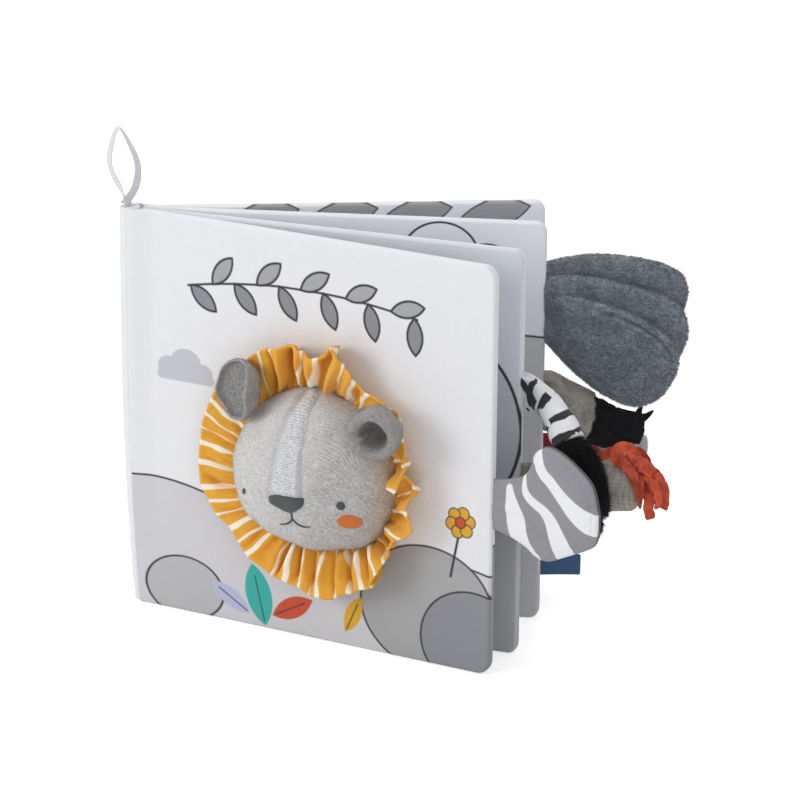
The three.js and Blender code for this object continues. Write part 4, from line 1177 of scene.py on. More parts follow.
mane = {
    # The free edge, counter-clockwise from the lower right: the angle of its root round the head,
    # then x, z and height over the cover in mm from the head's middle.
    "rim": [
        (-41, 42.9, -27.8, 14), (-39.5, 44, -25, 15), (-37, 47.1, -22.7, 16),
        (-34.5, 51.2, -20.7, 17), (-32, 54.2, -19.2, 17), (-28, 56.7, -15.9, 17),
        (-25, 55.7, -11.5, 18), (-21, 54.1, -7.6, 18), (-17, 53.4, -4.1, 16),
        (-13, 53.8, -0.5, 14), (-9, 53.6, 2.7, 12), (-5, 52.1, 6.1, 12), (-3, 50.6, 8, 13),
        (-1, 49.7, 7, 15), (1, 50.5, 5.1, 19), (3.5, 51.7, 2.5, 22), (6, 52.1, 6, 21),
        (10, 51.9, 10, 19), (14, 51.3, 13.5, 17), (18, 51.6, 16.7, 15), (22, 50.9, 20.2, 13),
        (26, 49.8, 24.3, 12), (31, 48.8, 28.8, 12), (36, 47.7, 33.2, 12), (41, 45.6, 36.6, 12),
        (46, 42.6, 37.9, 12), (50, 38.5, 40, 12), (54, 34.4, 41.7, 12), (57, 30.8, 42.4, 12),
        (61, 27.2, 44.2, 12), (66, 24.7, 47.7, 13), (70, 23.8, 50.6, 14), (73, 21.2, 53.2, 14),
        (75, 20.5, 55.4, 15), (78, 18.7, 58.6, 16), (81, 16.8, 61.4, 17), (83, 15.3, 62.5, 18),
        (84, 14.3, 61.7, 18), (86, 9.9, 58.1, 14), (88.5, 5.8, 55.2, 11), (92, 3.5, 54.6, 11),
        (96, 0.9, 54.4, 11), (100, -1.1, 55.7, 12), (103, -2.5, 57.2, 13), (106, -4, 57.7, 14),
        (110, -7, 58.4, 15), (114, -11.2, 58, 15), (118, -14.8, 57.4, 15),
        (120.5, -17.7, 56.5, 14.5), (125, -21.6, 54.8, 13), (129, -25.6, 53.1, 11.5),
        (133, -29, 50.5, 10.2), (138, -34.6, 46.2, 10), (144, -40.2, 41.4, 10.4),
        (151, -45.2, 35.7, 11), (158, -49.3, 30.2, 11), (164, -51.5, 25.9, 10.5),
        (170, -54.2, 20, 10), (175, -56.4, 14.3, 9.5), (177.5, -57.1, 11.7, 9.3),
        (184, -58.1, 4.3, 9), (190, -58.6, -0.1, 9), (196, -58.9, -5, 9), (201, -58.7, -10.7, 9),
        (206, -57.4, -17.2, 9), (209, -55.5, -20.7, 9), (213, -53.4, -23.7, 9),
        (218.5, -49.3, -29.3, 9.5), (222, -45.5, -31.7, 9.7), (226, -41.5, -34.5, 10),
        (233, -37, -40, 10.5), (240, -32.4, -45.3, 11), (244, -27.3, -48, 11.5),
        (247, -22.8, -49.7, 12), (250.5, -18.5, -52, 12), (253, -15, -52.9, 12.5),
        (256, -11, -53.4, 13), (259, -7.4, -54.1, 13), (263, -3.1, -54.8, 13),
        (266, -0.5, -56.4, 13), (269, 1.9, -57.2, 13.5), (275, 7.4, -57.7, 14),
        (280, 12.1, -57.5, 14), (285, 16.3, -55.7, 14), (288, 19.4, -54.2, 14),
        (292, 23, -52.5, 14), (296, 27.2, -50.8, 14), (300, 30.8, -49.4, 14),
        (304, 34.4, -48, 14), (306, 37, -45.7, 15), (307, 35, -44.7, 17), (309, 37.1, -42, 17),
        (311, 38.5, -40.1, 16), (313.5, 41.1, -37, 16), (316, 42.3, -33.6, 15.5),
        (317.5, 43, -30.3, 15),
    ],
    # creases that run out from the head: angle, height (below 0 a valley), half width in degrees
    "creases": [
        (-39, -3.6, 2.0), (-33, 2.0, 3.0), (-24, -2.6, 3.0), (-10, -5.0, 4.0), (3, 2.6, 3.0),
        (12, -3.6, 3.4), (30, 1.4, 7.0), (41, -1.6, 2.2), (48, 1.0, 3.0), (61, -2.0, 2.4),
        (70, 1.8, 4.0), (80, 4.2, 3.0), (86.5, -7.5, 1.9), (93, 2.6, 3.0), (99, -1.6, 1.5),
        (104, 1.6, 2.6), (110, -7.0, 3.4), (117, 3.6, 2.6), (123, -3.4, 1.6), (129, 0.4, 4.0),
        (139, -2.4, 4.0), (150, 0.2, 4.0), (161, -1.0, 2.5), (178, -1.4, 2.2), (193, -0.9, 2.0),
        (205, -2.4, 2.2), (211, 0.8, 3.0), (221, -1.6, 1.8), (229, 0.8, 3.0), (236, -1.2, 1.5),
        (244, -1.4, 1.5), (248, 1.2, 2.0), (252.5, -3.4, 1.3), (256, 2.0, 2.0), (260, -3.0, 1.2),
        (264, 2.0, 2.0), (268.5, -3.2, 1.2), (275, 2.2, 3.2), (283, -3.4, 1.5), (289, 2.2, 3.0),
        (295, -5.0, 1.4), (300, 2.4, 2.4), (306, -4.4, 1.3), (311, 2.2, 2.2), (316.5, -2.6, 1.5),
    ],
    # cream stripes across the strip: angle and half width in mm
    "stripes": [
        (-34.5, 0.86), (-21, 1), (-9, 0.72), (3.5, 1.1), (14, 0.72), (26, 0.94), (36, 0.65),
        (46, 1.2), (57, 0.94), (66, 1.2), (75, 0.9), (83, 0.4), (92, 1.1), (103, 0.8),
        (120.5, 0.7), (129, 0.86), (137, 0.72), (144, 0.94), (154, 0.79), (164, 1.1), (171, 0.65),
        (177.5, 0.5), (184, 1.2), (196, 1.1), (206, 1.2), (213, 0.94), (218.5, 0.94), (226, 1.3),
        (233, 0.86), (240, 1.2), (250.5, 0.5), (256, 1.4), (263, 0.94), (269, 0.79), (275, 1.1),
        (285, 1), (292, 0.94), (300, 1.1), (305, 0.58), (311, 1), (316, 0.86),
    ],
    "around": 1280,
    "rows": 36,
    "thickness": 0.9,
    "root": 1.2,
    "deepen": 1.6,  # how much deeper than written all creases are
    "arch": 1.3,
    "clear": 0.7,  # how far every valley stays over the cover, and how softly that sets in
    "ease": 1.2,
    "gathers": 58,  # small folds round the root, and their height
    "gather": 0.7,
    "gathered": 0.86,  # the flat strip's length as a share of its folded edge
    "width": 26.0,
}


def maneEdge():
    # The edge as a closed smooth curve with its points evenly apart: root angle, x, z and height.
    table = np.array(mane["rim"], float)
    ends = [table[-2:] - [360, 0, 0, 0], table, table[:3] + [360, 0, 0, 0]]
    loop = curveThrough(np.concatenate(ends), np.linspace(0, 1, 6000))
    span = len(table) + 4
    keep = (np.linspace(0, span, 6000) >= 2) & (np.linspace(0, span, 6000) <= 2 + len(table))
    loop = loop[keep]
    far = runLength(loop[:, 1:])
    at = np.linspace(0, far[-1], mane["around"], endpoint=False)
    edge = np.stack([np.interp(at, far, loop[:, k]) for k in range(4)], -1)
    edge[:, 0] = np.maximum.accumulate(edge[:, 0])
    return edge, at, far[-1], np.interp([a for a, _ in mane["stripes"]], loop[:, 0], far)


def makeMane():
    # A gathered strip: from the head's foot straight lines lead out to its free edge, arched a
    # little, and creases and fine gathers lift or sink them.
    q = mane
    edge, arc, length, stripes = maneEdge()
    soft = np.exp(-np.linspace(-2, 2, 25) ** 2)
    degrees = np.convolve(np.concatenate([edge[-12:, 0] - 360, edge[:, 0], edge[:12, 0] + 360]),
                          soft / soft.sum(), "valid")
    turn = np.radians(degrees)
    rootX, rootZ = headOutline(turn, 0.2)
    share = np.linspace(0, 1, q["rows"])[None]
    x = rootX[:, None] + (edge[:, 1] - rootX)[:, None] * share
    z = rootZ[:, None] + (edge[:, 2] - rootZ)[:, None] * share
    out = q["root"] + (edge[:, 3] - q["root"])[:, None] * share ** 1.15
    base = np.stack([x, -out, z], -1)
    reach = np.hypot(edge[:, 1] - rootX, edge[:, 2] - rootZ)
    slope = np.arctan2(edge[:, 3] - q["root"], reach)[:, None] * (0.6 + 0.4 * share)
    radial = np.stack([np.cos(turn), 0 * turn, np.sin(turn)], -1)[:, None]
    normal = (np.array([0.0, -1.0, 0.0]) * np.cos(slope)[..., None]
              - radial * np.sin(slope)[..., None])
    wander = degrees[:, None] + 2.6 * waves(x, z, 26, 23) * share
    crease = 0 * wander
    for at, high, wide in q["creases"]:
        gap = (wander - at + 180) % 360 - 180
        crease = crease + high * bump(gap, wide)
    crease = q["deepen"] * crease * smooth(share, 0, 0.2) * (1 - 0.8 * smooth(share, 0.62, 1.0))
    arch = q["arch"] * np.sin(math.pi * share) * (1 - share * 0.4)
    # No valley goes through the cover: below the least height a soft minimum takes over.
    least = q["clear"] - out / np.cos(slope)
    crease = least + q["ease"] * np.logaddexp(0, (crease - least) / q["ease"])
    folds = np.cos(np.radians(degrees) * q["gathers"] + 2.4 * waves(rootX, rootZ, 30, 24))[:, None]
    fine = q["gather"] * folds * bump(share - 0.14, 0.17)
    fine = fine + 0.16 * waves(x, z, 7, 25) * smooth(share, 0, 0.3)
    points = base + normal * (crease + arch + fine)[..., None]
    normals = gridNormals(points, wrap=True)
    normals = normals * np.sign((normals * normal).sum(-1, keepdims=True).mean())
    hem = q["thickness"] / 2 * (1 + 0.45 * smooth(share, 0.88, 0.96))
    blunt = np.sqrt(np.clip(1 - smooth(share, 0.975, 1.0) ** 2, 0, 1)) + 0 * share
    half = (hem * blunt)[..., None]
    sway = arc[:, None] + 1.1 * waves(x, z, 19, 26) * smooth(1 - share, 0, 0.5)
    off = np.full(points.shape[:2], 99.0)
    for at, (_, wide) in zip(stripes, q["stripes"]):
        gap = np.abs((sway - at + length / 2) % length - length / 2)
        off = np.minimum(off, gap - wide * (1 + 0.2 * waves(x, z, 11, 27)))
    places = np.stack([off, q["width"] * share + 0 * off], -1)
    top, under = points + normals * half, points - normals * half
    rings = np.concatenate([top, under[:, ::-1]], 1)
    rings, spots = closed(rings), np.concatenate([places, places[:, ::-1], places[:, :1]], 1)
    index = np.arange(rings.shape[0] * rings.shape[1]).reshape(rings.shape[:2])
    form = Form().add(rings, gridQuads(index, wrap=True),
                      gridPlaces(np.concatenate([spots, spots[:1]])))
    piece = makePiece("lion_mane", form, maneCloth(), "front_cover", ["lion_mane_ruffle"],
                      place=onCover)
    print("mane edge", round(length, 1))


def maneCloth():
    # Mustard cotton with cream stripes; the first pattern place is the distance to a stripe.
    shade = Shade("mane_cloth", roughness=0.8, sheen=0.12)
    off = shade.places()[0]
    room = shade.room()
    fine = shade.noise(room, 0.8, 2.0, 0.6)
    cloud = shade.noise(room, 12.0, 2.0, 0.5)
    ochre = shade.mix((cloud * 0.6 + fine * 0.4).clamp(), "DC9A2E", "F0B444")
    colour = shade.mix(inside(off + (fine - 0.5) * 0.5, 0.3), ochre, "FBF3E0")
    return shade.dressed(colour, shade.noise(room, 0.45, 2.0, 0.6, 3.0) + fine, 0.06)


makeHead()
makeStripe()
makeFace()
makeEar("left")
makeEar("right")
makeMane()
print("lion made")


# Tails, each in its own page's frame: x from the spine, y behind, z up

def outlineOf(q):
    fine = np.linspace(0, 1, 500)
    return np.concatenate([curveThrough(q["low"], fine), curveThrough(q["high"], fine)])


def farFrom(x, z, line):
    # The distance from each place to a dense line of points.
    flat = np.stack([x.ravel(), z.ravel()], -1)
    far = np.empty(len(flat))
    for k in range(0, len(flat), 2000):
        gap = flat[k:k + 2000, None] - line[None]
        far[k:k + 2000] = np.sqrt((gap ** 2).sum(-1).min(1))
    return far.reshape(x.shape)


def petal(q, middle, relief, places=None):
    # A stuffed flat shape between a lower and an upper edge: straight lines lead from one to the
    # other, closer together towards the tip, and from its seam a quarter of an ellipse leads up to
    # the full thickness.
    u = 1 - (1 - np.linspace(0, 1, q["rows"])) ** 1.5
    v = easedShares(q["columns"], 0.8)[None, :, None]
    flat = curveThrough(q["low"], u)[:, None] * (1 - v) + curveThrough(q["high"], u)[:, None] * v
    x, z = flat[..., 0], flat[..., 1]
    far = farFrom(x, z, outlineOf(q))
    share = np.sqrt(np.clip(1 - (1 - np.minimum(1, far / q["roundIn"])) ** 2, 0, 1))
    start, end, least = q["root"]
    half = q["thick"] / 2 * share * (least + (1 - least) * smooth(x, start, end))
    skins = [np.stack([x, middle(x, z) + side * (half + relief(x, z, far, side) * share), z], -1)
             for side in (-1, 1)]
    return Form().pillow(*skins, places(x, z) if places else flat)


def rootPinch(x, z, across, along, size, seed, start, end):
    # Folds that run out from the seam and fade between start and end.
    return waves(x * across, z * along, size, seed) * (1 - smooth(x, start, end))


def napped(name, light, dark, size=1.4, depth=0.2, sheen=0.25, edgeShade=0.0):
    # Brushed cloth: soft fine grain with larger rubbed places, and painted shade darkening the
    # strips' edges, where neighbouring strips would shade each other.
    shade = Shade(name, roughness=0.95, sheen=sheen)
    room = shade.room()
    grain = shade.noise(room, size * 0.5, 3.0, 0.7, 2.0)
    rub = shade.noise(room, size * 5, 3.0, 0.6, 6.0)
    share = grain * 0.55 + rub.step(0.3, 0.7) * 0.5
    # Painted shade: the edges of each strip are darkened to set the strips apart.
    if edgeShade:
        around = shade.places()[1]
        share = share * (1.0 - abs(around.fraction() - 0.5).step(0.34, 0.48) * edgeShade)
    return shade.dressed(shade.mix(share.clamp(), dark, light), grain + rub * 0.3, depth)


plume = {
    "shape": dict(thick=7.6, roundIn=7.5, root=(188, 199, 0.3), rows=110, columns=72),
    "front": dict(
        low=[(187.6, 135.0), (195.1, 128.8), (202.7, 122.4), (212.5, 115.0), (219.0, 110.9),
             (227.6, 107.4), (236.1, 107.9), (244.0, 113.1), (248.8, 121.1), (250.8, 127.5)],
        high=[(187.6, 157.8), (196.0, 157.5), (207.0, 156.4), (217.9, 154.1), (226.0, 151.4),
              (233.8, 148.1), (241.0, 143.8), (246.6, 139.2), (250.0, 133.5), (250.8, 127.5)]),
    "middle": dict(
        low=[(187.6, 142.0), (200.0, 134.0), (213.0, 126.0), (226.0, 120.5), (236.0, 119.0),
             (244.5, 122.0), (250.5, 129.0), (253.4, 136.0), (254.4, 141.0)],
        high=[(187.6, 165.4), (202.3, 165.2), (213.0, 164.2), (223.6, 162.4), (232.0, 160.4),
              (240.6, 158.0), (248.1, 154.3), (252.6, 149.2), (254.4, 141.0)]),
    "back": dict(
        low=[(187.6, 150.0), (200.0, 145.0), (213.0, 140.0), (226.0, 137.0), (236.0, 137.0),
             (244.0, 140.0), (249.5, 146.0), (252.4, 152.0), (253.4, 158.0)],
        high=[(187.6, 170.9), (197.0, 172.4), (208.9, 173.2), (219.0, 173.3), (228.2, 172.8),
              (237.0, 171.4), (245.1, 168.9), (251.0, 165.0), (253.4, 158.0)]),
}


def makeLobe(name, order, fur):
    # The lobes lie close together at their common root and spread within 24 mm of it.
    def middle(x, z):
        spread = smooth(np.minimum(1, (x - 190) / 24), 0, 1) ** 0.6
        return (order * (1.0 + 6.6 * spread) - 0.6 * smooth(x, 225, 252)
                + 0.4 * waves(x, z, 40, 31 + order))

    def relief(x, z, far, side):
        above = z - np.interp(x, [188, 220, 252], [140, 136, 124])
        seam = -1.3 * bump(far - 2.9, 0.7) + 0.6 * bump(far - 4.4, 0.9)
        seam = seam * smooth(above, 0, 8) * smooth(x, 208, 222) * (order == -1) * (side < 0)
        fold = 0.5 * rootPinch(x, z, 0.55, 1.6, 17, 35 + order, 200, 226)
        return 0.3 * waves(x, z, 20, 33 + order) + fold + seam

    form = petal({**plume["shape"], **plume[name]}, middle, relief)
    form.fibres(**naps["plume"], seed=41 + order)
    makePiece(f"plume_{name}", form, fur, "plume", [f"plume_{name}_lobe", f"plume_{name}_stuffing"],
              place=onPage("leaf_two"))


def plumeVelour():
    # Longer pile: strokes that run out along the lobe, light where they catch the light.
    shade = Shade("plume_velour", roughness=0.95, sheen=0.5, sheenTint="C8D4E0")
    room = shade.room()
    stretched = shade.node("ShaderNodeVectorMath", {"operation": "MULTIPLY"},
                           {0: room, 1: (0.45, 0.45, 1.2)})
    strokes = shade.noise(stretched, 1.3, 4.0, 0.7, 3.0)
    blotch = shade.noise(room, 9.0, 3.0, 0.6, 7.0)
    share = strokes * 0.85 + blotch.step(0.3, 0.75) * 0.16
    colour = shade.mix(share.step(0.1, 0.95), "5E6771", "B9C2CB")
    return shade.dressed(colour, strokes + blotch * 0.3, 0.6)


def strip(route, width, thick, facing, seed, point, curl=0.0, twist=0.0):
    # A felt strip: a flat rounded section carried along a route, narrower to its end, that can curl
    # and twist on its way.
    t = np.linspace(0, 1, 56)
    middle = curveThrough(route, t)
    along = unit(np.gradient(middle, axis=0))
    facing = unit(facing - along * (along @ np.array(facing))[:, None])
    across = np.cross(along, facing)
    spin = np.radians(curl + twist * t)[:, None]
    side = across * np.cos(spin) + facing * np.sin(spin)
    up = -across * np.sin(spin) + facing * np.cos(spin)
    half = width / 2 * (1 - (1 - point) * t ** 1.6) * (1 - smooth(t, 0.97, 1.0) * 0.35)
    half, turn = half[:, None, None], circle(24)
    wide = squared(np.cos(turn), 0.45)[None, :, None] * half
    thin = squared(np.sin(turn), 0.7)[None, :, None] * thick / 2
    cup = 0.168 * (wide / half) ** 2 * half
    rings = middle[:, None] + side[:, None] * wide + up[:, None] * (thin + cup)
    return rings + 0.12 * waves(rings[..., 0] * 2, rings[..., 2] * 2, 6, seed)[..., None]


greyTail = {
    "low": [(187.8, 91.5), (195.0, 89.8), (202.0, 87.8), (208.4, 87.4), (212.6, 91.0),
            (214.2, 99.0)],
    "high": [(187.8, 119.2), (193.0, 119.6), (200.2, 115.9), (207.8, 112.2), (213.2, 109.0),
             (214.2, 99.0)],
    "thick": 9.6, "roundIn": 5.5, "root": (188, 201, 0.3), "rows": 70, "columns": 64,
    "felt": 1.9,
    # the tuft's strips: route, width, and how much of it is left at the end
    "strips": [
        ([(210, 0.4, 104.2), (216, -0.6, 102.8), (223, -1.4, 99.6), (229.4, -1.8, 98.0),
          (232.6, -2, 100.6), (234.6, -2, 106.0)], 10.5, 0.1),
        ([(210, 1.2, 99), (218, 0.6, 98.4), (226, 0.2, 97.4), (232, 0, 97.6), (236.6, 0.4, 99.8),
          (239.8, 0.8, 102.4)], 8.5, 0.1),
        ([(210, -1.2, 98.4), (218, -2.4, 98), (226, -3, 97), (232, -3, 96.2), (236, -2.8, 95.8)],
         11.5, 0.9),
        ([(210, 0, 93), (218, -1, 93), (226, -1.8, 92.8), (232, -2, 92), (235.4, -1.8, 91)],
         10, 0.85),
        ([(210, 1, 90), (216, 1.2, 88.4), (220, 1.2, 86.6), (222.6, 1.2, 85.2)], 9, 0.6),
        ([(210, 2.4, 97.5), (218, 2.8, 96.6), (226, 2.8, 95.6), (233.4, 2.4, 94.6)], 14, 0.8),
        ([(210, -2, 94), (216, -3.6, 91.4), (221, -4, 89), (225.4, -4, 88)], 9.5, 0.5),
    ],
}


def makeGreyTail():
    # A stuffed petal pinched at its root, and seven flat felt strips from its end.
    def relief(x, z, far, side):
        return (0.6 * rootPinch(x, z, 0.35, 1.5, 9, 52, 190, 204)
                + 0.35 * waves(x, z, 13, 53 + side))

    form = petal(greyTail, lambda x, z: 0.5 * waves(x, z, 26, 51) * smooth(x, 190, 200), relief)
    makePiece("grey_tail", form.fibres(**naps["suede"]), napped("grey_suede", "C9C4BC", "918C84"),
              "grey_tail", ["grey_tail_sleeve", "grey_tail_stuffing"], place=onPage("leaf_two"))
    form = Form()
    for k, (route, width, point) in enumerate(greyTail["strips"]):
        form.tube(strip(route, width, greyTail["felt"], (0, -1, 0), 60 + k, point,
                        6 * (k % 3) - 6, 10), size=(20, 2))
    makePiece("grey_tail_tuft", form.fibres(**naps["blackFelt"]),
              napped("black_felt", "1E1F22", "0B0C0D", 1.2, 0.3, 0.08), "grey_tail",
              ["grey_tail_felt_tuft"], place=onPage("leaf_two"))


def sweepRings(route, count, sides):
    # Oval sections along a smooth path, upright at the root and square to the path.
    route = np.asarray(route, float)
    t = np.linspace(0, 1, count)
    middle = curveThrough(route[:, :3], t)
    size = curveThrough(route[:, 3:], t)
    along = unit(np.gradient(middle, axis=0))
    across = unit(np.stack([-along[:, 1], along[:, 0], 0 * t], -1))
    up = np.cross(along, across)
    turn = circle(sides)
    rings = (middle[:, None] + up[:, None] * (np.sin(turn)[None] * size[:, :1] / 2)[..., None]
             + across[:, None] * (np.cos(turn)[None] * size[:, 1:2] / 2)[..., None])
    return rings, middle


zebra = {
    # middles, heights and thicknesses, of the sleeve from the seam and of the tuft from the sleeve
    "sleeve": [(188.6, 0.0, 124.3, 18.6, 2.4), (193.5, -1.2, 124.6, 16.5, 6.0),
               (199.0, -3.0, 123.6, 14.0, 9.5), (206.1, -6.2, 119.6, 13.0, 11.6),
               (212.0, -9.8, 113.4, 15.4, 13.0), (216.4, -12.8, 107.4, 16.6, 13.6)],
    "tuft": [(214.8, -12.4, 108.4, 11.0, 9.0), (218.8, -14.0, 102.8, 17.0, 12.0),
             (223.0, -15.0, 95.2, 18.5, 12.5), (225.0, -15.4, 86.0, 18.5, 12.0),
             (225.5, -15.4, 76.0, 16.0, 10.5), (225.0, -15.2, 67.0, 8.0, 6.5)],
    "size": (40, 44),  # the pattern along and round the sleeve
}


def zebraCloth():
    # Dark bars of uneven width round the sleeve, broken in places, a wedge and a row of stitches.
    shade = Shade("zebra_cloth", roughness=0.75, sheen=0.12)
    x, a = shade.places()
    once = wholeTurn / zebra["size"][1]
    sway = shade.noise(shade.vector(x, a), 12.0, 2.0, 0.5, 5.0)
    at = (x + (a * once).sine() * 2.2 + (sway - 0.5) * 5.0 + (a * (2 * once) + 1.0).sine() * 1.2)
    broad = shade.noise(shade.vector(x, a), 9.0, 1.0, 0.5, 13.0) * 2.4 + 0.4
    bars = inside(abs((at / 8.6).fraction() - 0.5) * 8.6 - broad, 0.25)
    gap = shade.noise(shade.vector(x * 0.5, a), 7.0, 1.0, 0.5, 9.0).step(0.4, 0.43)
    stitch = inside(abs(x - 37.2) - 0.3, 0.15)
    wedge = inside(abs(a - 16.5 - x * 0.52) - 1.0 - x * 0.2, 0.25) * inside(x - 18.0, 0.3)
    dark = (bars * gap * x.step(5.0, 5.5)).high(stitch).high(wedge)
    fine = shade.noise(shade.room(), 0.8, 3.0)
    return shade.dressed(shade.mix(dark, shade.mix(fine, "D6D8DC", "ECEDEF"), "2B2D30"), fine, 0.08)


def makeZebraTail():
    # A swept oval tube with sine pinches at its root, two bell-shaped dents where it bends and a
    # seam near its end, then a swept oval core under long fur.
    rings, middle = sweepRings(zebra["sleeve"], 100, 120)
    out = unit(rings - middle[:, None])
    tt, aa = np.meshgrid(np.linspace(0, 1, 100), circle(120), indexing="ij")
    pinch = 0.9 * np.sin(5 * aa + 3.0 * tt + 1.1) * (1 - smooth(tt, 0.12, 0.55))
    bend = 0.75 * bump(tt - 0.33, 0.045) * smooth(np.cos(aa - 3.6), -0.1, 0.9)
    bend = bend + (0.6 * bump(tt - 0.5 - 0.05 * np.sin(aa), 0.04)
                   * smooth(np.cos(aa - 2.8), 0, 0.9))
    fold = 0.35 * waves(aa * 6, tt * 40, 12, 71) - bend
    seam = -0.5 * bump(tt - 0.93, 0.012)
    end = 1 - 0.5 * smooth(tt, 0.97, 1.0) ** 2
    rings = middle[:, None] + (rings - middle[:, None]) * end[..., None] + out * (
        (pinch + fold + seam) * smooth(tt, 0, 0.08))[..., None]
    makePiece("zebra_tail", Form().tube(rings, size=zebra["size"]), zebraCloth(), "zebra_tail",
              ["zebra_tail_sleeve", "zebra_tail_stuffing"], place=onPage("leaf_one"))
    form = Form().tube(sweepRings(zebra["tuft"], 50, 48)[0], size=(40, 40))
    shade = Shade("black_fur", roughness=0.7)
    colour = shade.mix(shade.noise(shade.room(), 1.1, 3.0, 0.6), "050506", "16171A")
    shade.tree.links.new(colour.socket, shade.surface.inputs["Base Color"])
    makePiece("zebra_tail_tuft", form.fibres(**naps["fur"]), shade.material, "zebra_tail",
              ["zebra_tail_fur_tuft"], place=onPage("leaf_one"))


linen = {
    "low": [(187.8, 66.0), (200.0, 68.0), (213.0, 70.5), (225.0, 72.8), (236.0, 74.4),
            (242.8, 75.8), (245.0, 79.6), (245.4, 85.0)],
    "high": [(187.8, 90.6), (200.0, 93.0), (213.0, 95.6), (224.0, 97.8), (233.0, 99.2),
             (240.6, 96.0), (244.0, 91.2), (245.4, 85.0)],
    "thick": 13.4, "roundIn": 10.5, "root": (188, 206, 0.22), "rows": 90, "columns": 64,
    "felt": 0.9,
    # the fringe's strips: route, width, curl at the start and twist on the way in degrees
    "strips": [
        ([(237.6, -3, 99.6), (235.9, -5, 103.2), (233.4, -6, 103.6), (230.2, -6, 101.8),
          (227.2, -6, 99.8)], 5.0, 35, -75),
        ([(236.4, -3, 98.5), (235.2, -5.5, 102.3), (237.7, -6.8, 106.2), (241.4, -6.5, 106.4),
          (244.4, -5.5, 103.2), (245.4, -5, 100)], 5.8, -40, 90),
        ([(238.4, -2.5, 98.2), (243, -5.5, 101.2), (248, -6.5, 101.6), (251.5, -6, 100.1),
          (253.8, -5, 97.6)], 5.3, 30, -105),
        ([(240.6, -2.5, 95.1), (245, -5.4, 98), (249.3, -6.2, 98), (252.8, -5.5, 95.2)],
         5.2, -35, 60),
        ([(243.2, -1, 91.2), (249.4, -3.4, 94.5), (254.6, -3.9, 93.4), (257.4, -3.2, 88.6),
          (257.9, -2.4, 83.2), (257.4, -2, 78.6)], 5.2, 40, -75),
        ([(244.2, -1.5, 89.2), (250, -4.6, 92), (254.2, -5.4, 89.6), (255.4, -5, 84.9),
          (254.8, -4, 79.4)], 4.7, -30, 90),
        ([(242.6, -3, 94.6), (246.2, -6, 90.8), (247.6, -7, 86.2), (247.6, -6.5, 79.6)],
         5.6, 35, -105),
        ([(244.6, -1, 91), (249, -3.4, 90.2), (251.1, -4.4, 85.5), (250.8, -3.6, 79.2),
          (251.3, -2, 73.4)], 5.2, -40, 60),
        ([(235, -2.8, 100.2), (240.4, -6.2, 98.4), (244.2, -7, 95.3), (246.2, -6.5, 90.3)],
         5.3, 30, -75),
        ([(243, 2, 85.2), (249.6, 1.5, 86.5), (252.9, 1.3, 83.7), (254, 1, 78)], 5.3, -35, 90),
        ([(238, 3, 98.3), (243.6, 2.2, 102), (247.5, 1.6, 99.9), (250.4, 1, 95.4)],
         5.6, 40, -105),
        ([(242, 2.4, 91), (248, 2.2, 94.6), (253, 1.6, 92), (255.4, 1.2, 86)], 5.6, -30, 60),
    ],
}


def linenCloth():
    # Coarse threads both ways, each a noise stretched along its thread.
    shade = Shade("linen_cloth", roughness=0.9, sheen=0.12)
    x, z = shade.places()
    warp = shade.noise(shade.vector(x, z * 0.12), 1.2, 2.0, 0.7, 3.0)
    weft = shade.noise(shade.vector(x * 0.12, z), 1.2, 2.0, 0.7, 8.0)
    cloud = shade.noise(shade.room(), 7.0, 3.0, 0.6)
    threads = (warp * 0.5 + weft * 0.5).step(0.25, 0.75)
    colour = shade.mix((threads * 0.8 + cloud * 0.25).clamp(), "6F6A63", "C0BBB3")
    return shade.dressed(colour, warp.high(weft), 0.28)


def makeLinenTail():
    # A thick stuffed petal pinched at its root, and twelve curling felt ribbons round its end.
    def relief(x, z, far, side):
        return (0.7 * rootPinch(x, z, 0.3, 1.5, 9, 82, 190, 206)
                + 0.3 * waves(x, z, 15, 83 + side))

    makePiece("linen_tail", petal(linen, lambda x, z: 0 * x, relief), linenCloth(), "linen_tail",
              ["linen_tail_sleeve", "linen_tail_stuffing"], onPage("leaf_one"))
    form = Form()
    for k, (route, width, curl, twist) in enumerate(linen["strips"]):
        form.tube(strip(route, width, linen["felt"], (0.2, -1, 0), 90 + k, 0.85, curl, twist),
                  size=(20, 2))
    # The orange felt gets painted shade along its strips' edges.
    makePiece("linen_tail_fringe", form.fibres(**naps["orangeFelt"]),
              napped("orange_felt", "F06A48", "852A19", 1.3, 0.35, 0.2, edgeShade=0.75), "linen_tail",
              ["linen_tail_felt_fringe"], place=onPage("leaf_one"))


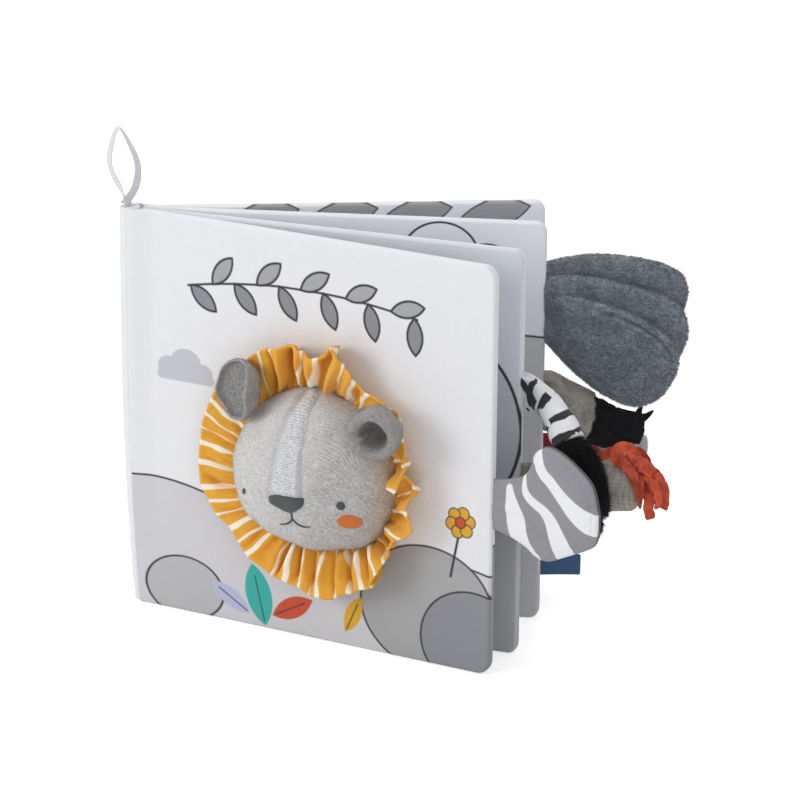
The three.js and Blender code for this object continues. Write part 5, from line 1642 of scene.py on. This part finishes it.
paddle = {
    "low": [(187.8, 69.6), (193.4, 68.5), (200.2, 66.5), (206.0, 63.8), (210.4, 60.6),
            (213.8, 59.2), (218.4, 59.2), (226.0, 62.6), (236.8, 68.0), (241.2, 71.6),
            (242.8, 78.0), (243.0, 85.6)],
    "high": [(187.8, 92.4), (193.0, 92.8), (199.4, 94.6), (204.6, 96.9), (207.8, 101.5),
             (209.4, 107.0), (212.6, 110.8), (217.2, 112.2), (223.4, 110.4), (232.0, 105.0),
             (239.4, 97.8), (243.0, 85.6)],
    "thick": 8.4, "roundIn": 10.0, "root": (188, 206, 0.25), "rows": 150, "columns": 110,
    # each stripe's middle and its half width there
    "stripes": [
        [(198.6, 90.5, 1.8), (200.7, 83.8, 3.5), (202.4, 77.1, 4.7), (203.5, 70.3, 5.0),
         (205.6, 64.6, 5.0), (209.7, 58.8, 5.0)],
        [(205.4, 98.3, 0.7), (207.0, 91.9, 1.5), (209.6, 88.4, 2.0), (213.1, 86.0, 2.2),
         (217.1, 83.7, 2.5), (220.7, 79.5, 3.2), (223.0, 73.9, 4.0), (224.9, 68.7, 4.5),
         (228.0, 60.2, 5.0)],
        [(210.6, 110.5, 3.2), (215.2, 101.6, 2.7), (219.8, 97.6, 2.6), (223.8, 93.7, 2.7),
         (227.8, 89.8, 3.2), (232.3, 85.8, 4.0), (237.3, 82.6, 4.7), (241.8, 80.8, 5.0),
         (247.6, 80.7, 5.0)],
    ],
}


def paddlePlaces(x, z):
    # The distance to the nearest stripe, whose half width follows its middle, and the distance to
    # the seam, which isn't drawn near the root.
    band = np.full(x.shape, 1e3)
    for stripe in paddle["stripes"]:
        for cx, cz, half in curveThrough(stripe, np.linspace(0, 1, 160)):
            band = np.minimum(band, np.hypot(x - cx, z - cz) - half)
    return np.stack([band, farFrom(x, z, outlineOf(paddle)) + 6 * smooth(-x, -212, -200)], -1)


def makePaddle():
    # A flat stuffed petal whose rim is stitched and puckered by a sine.
    def middle(x, z):
        return -0.8 * smooth(x, 205, 244) + 0.35 * waves(x, z, 34, 102)

    def relief(x, z, far, side):
        stitch = -0.45 * bump(far - 2.6, 0.5) * smooth(x, 203, 212)
        pucker = 0.18 * np.sin(1.15 * (x - z)) * bump(far - 3, 3) * smooth(x, 206, 214)
        return (stitch + 0.5 * rootPinch(x, z, 0.4, 1.5, 10, 103, 190, 208) + pucker
                + 0.3 * waves(x, z, 18, 104 + side))

    shade = Shade("paddle_cloth", roughness=0.8, sheen=0.1)
    band, edge = shade.places()
    room = shade.room()
    fine = shade.noise(room, 0.8, 3.0)
    cloud = shade.noise(room, 14.0, 2.0)
    colour = shade.mix((fine * 0.6 + cloud * 0.4).clamp(), "85848A", "9D9CA1")
    colour = shade.mix(inside(band, 0.25), colour, "ECEDF0")
    colour = shade.mix(inside(edge - 0.3, 0.2), colour, "55555A")
    makePiece("striped_paddle", petal(paddle, middle, relief, paddlePlaces),
              shade.dressed(colour, fine, 0.07), "striped_paddle",
              [f"striped_paddle_{part}" for part in ("front_cloth", "back_cloth", "filling")],
              place=onPage("front_cover"))


redTail = {
    "low": [(188.0, 63.0), (200, 62.8), (211, 63.2), (217.5, 65.6), (219.8, 70.0)],
    "high": [(188.0, 77.0), (200, 77.3), (211, 76.8), (217.5, 74.6), (219.8, 70.0)],
    "thick": 11.6, "roundIn": 6.5, "root": (188, 204, 0.25), "rows": 56, "columns": 40,
    "tip": [(218.4, 0, 70, 11.0, 9.0), (223.0, 0, 70, 16.5, 12.0), (228.6, 0, 70.0, 16.4, 12.4),
            (234.4, 0, 69.8, 14.0, 11.0), (238.8, 0, 69.6, 6.6, 6.0)],
}


def makeRedTail():
    # A stuffed petal, and a swept oval tip under plush.
    form = petal(redTail, lambda x, z: 0 * x,
                 lambda x, z, far, side: 0.3 * waves(x, z, 11, 111 + side))
    makePiece("red_tail", form.fibres(**naps["redVelour"]),
              napped("red_velour", "B5304A", "7E1C30", 1.6, 0.3, 0.4), "red_tail",
              ["red_tail_sleeve", "red_tail_stuffing"])
    rings = sweepRings(redTail["tip"], 36, 44)[0]
    rings = rings + 0.4 * waves(rings[..., 0], rings[..., 2], 6, 113)[..., None]
    makePiece("red_tail_tip", Form().tube(rings, size=(22, 40)).fibres(**naps["plush"]),
              napped("white_plush", "F3F3F4", "D4D5D8", 1.6, 0.4, 0.3), "red_tail",
              ["red_tail_white_tip"])


plumeFur = plumeVelour()
for name, order in (("front", -1), ("middle", 0), ("back", 1)):
    makeLobe(name, order, plumeFur)
makeGreyTail()
makeZebraTail()
makeLinenTail()
makePaddle()
makeRedTail()
print("tails made")
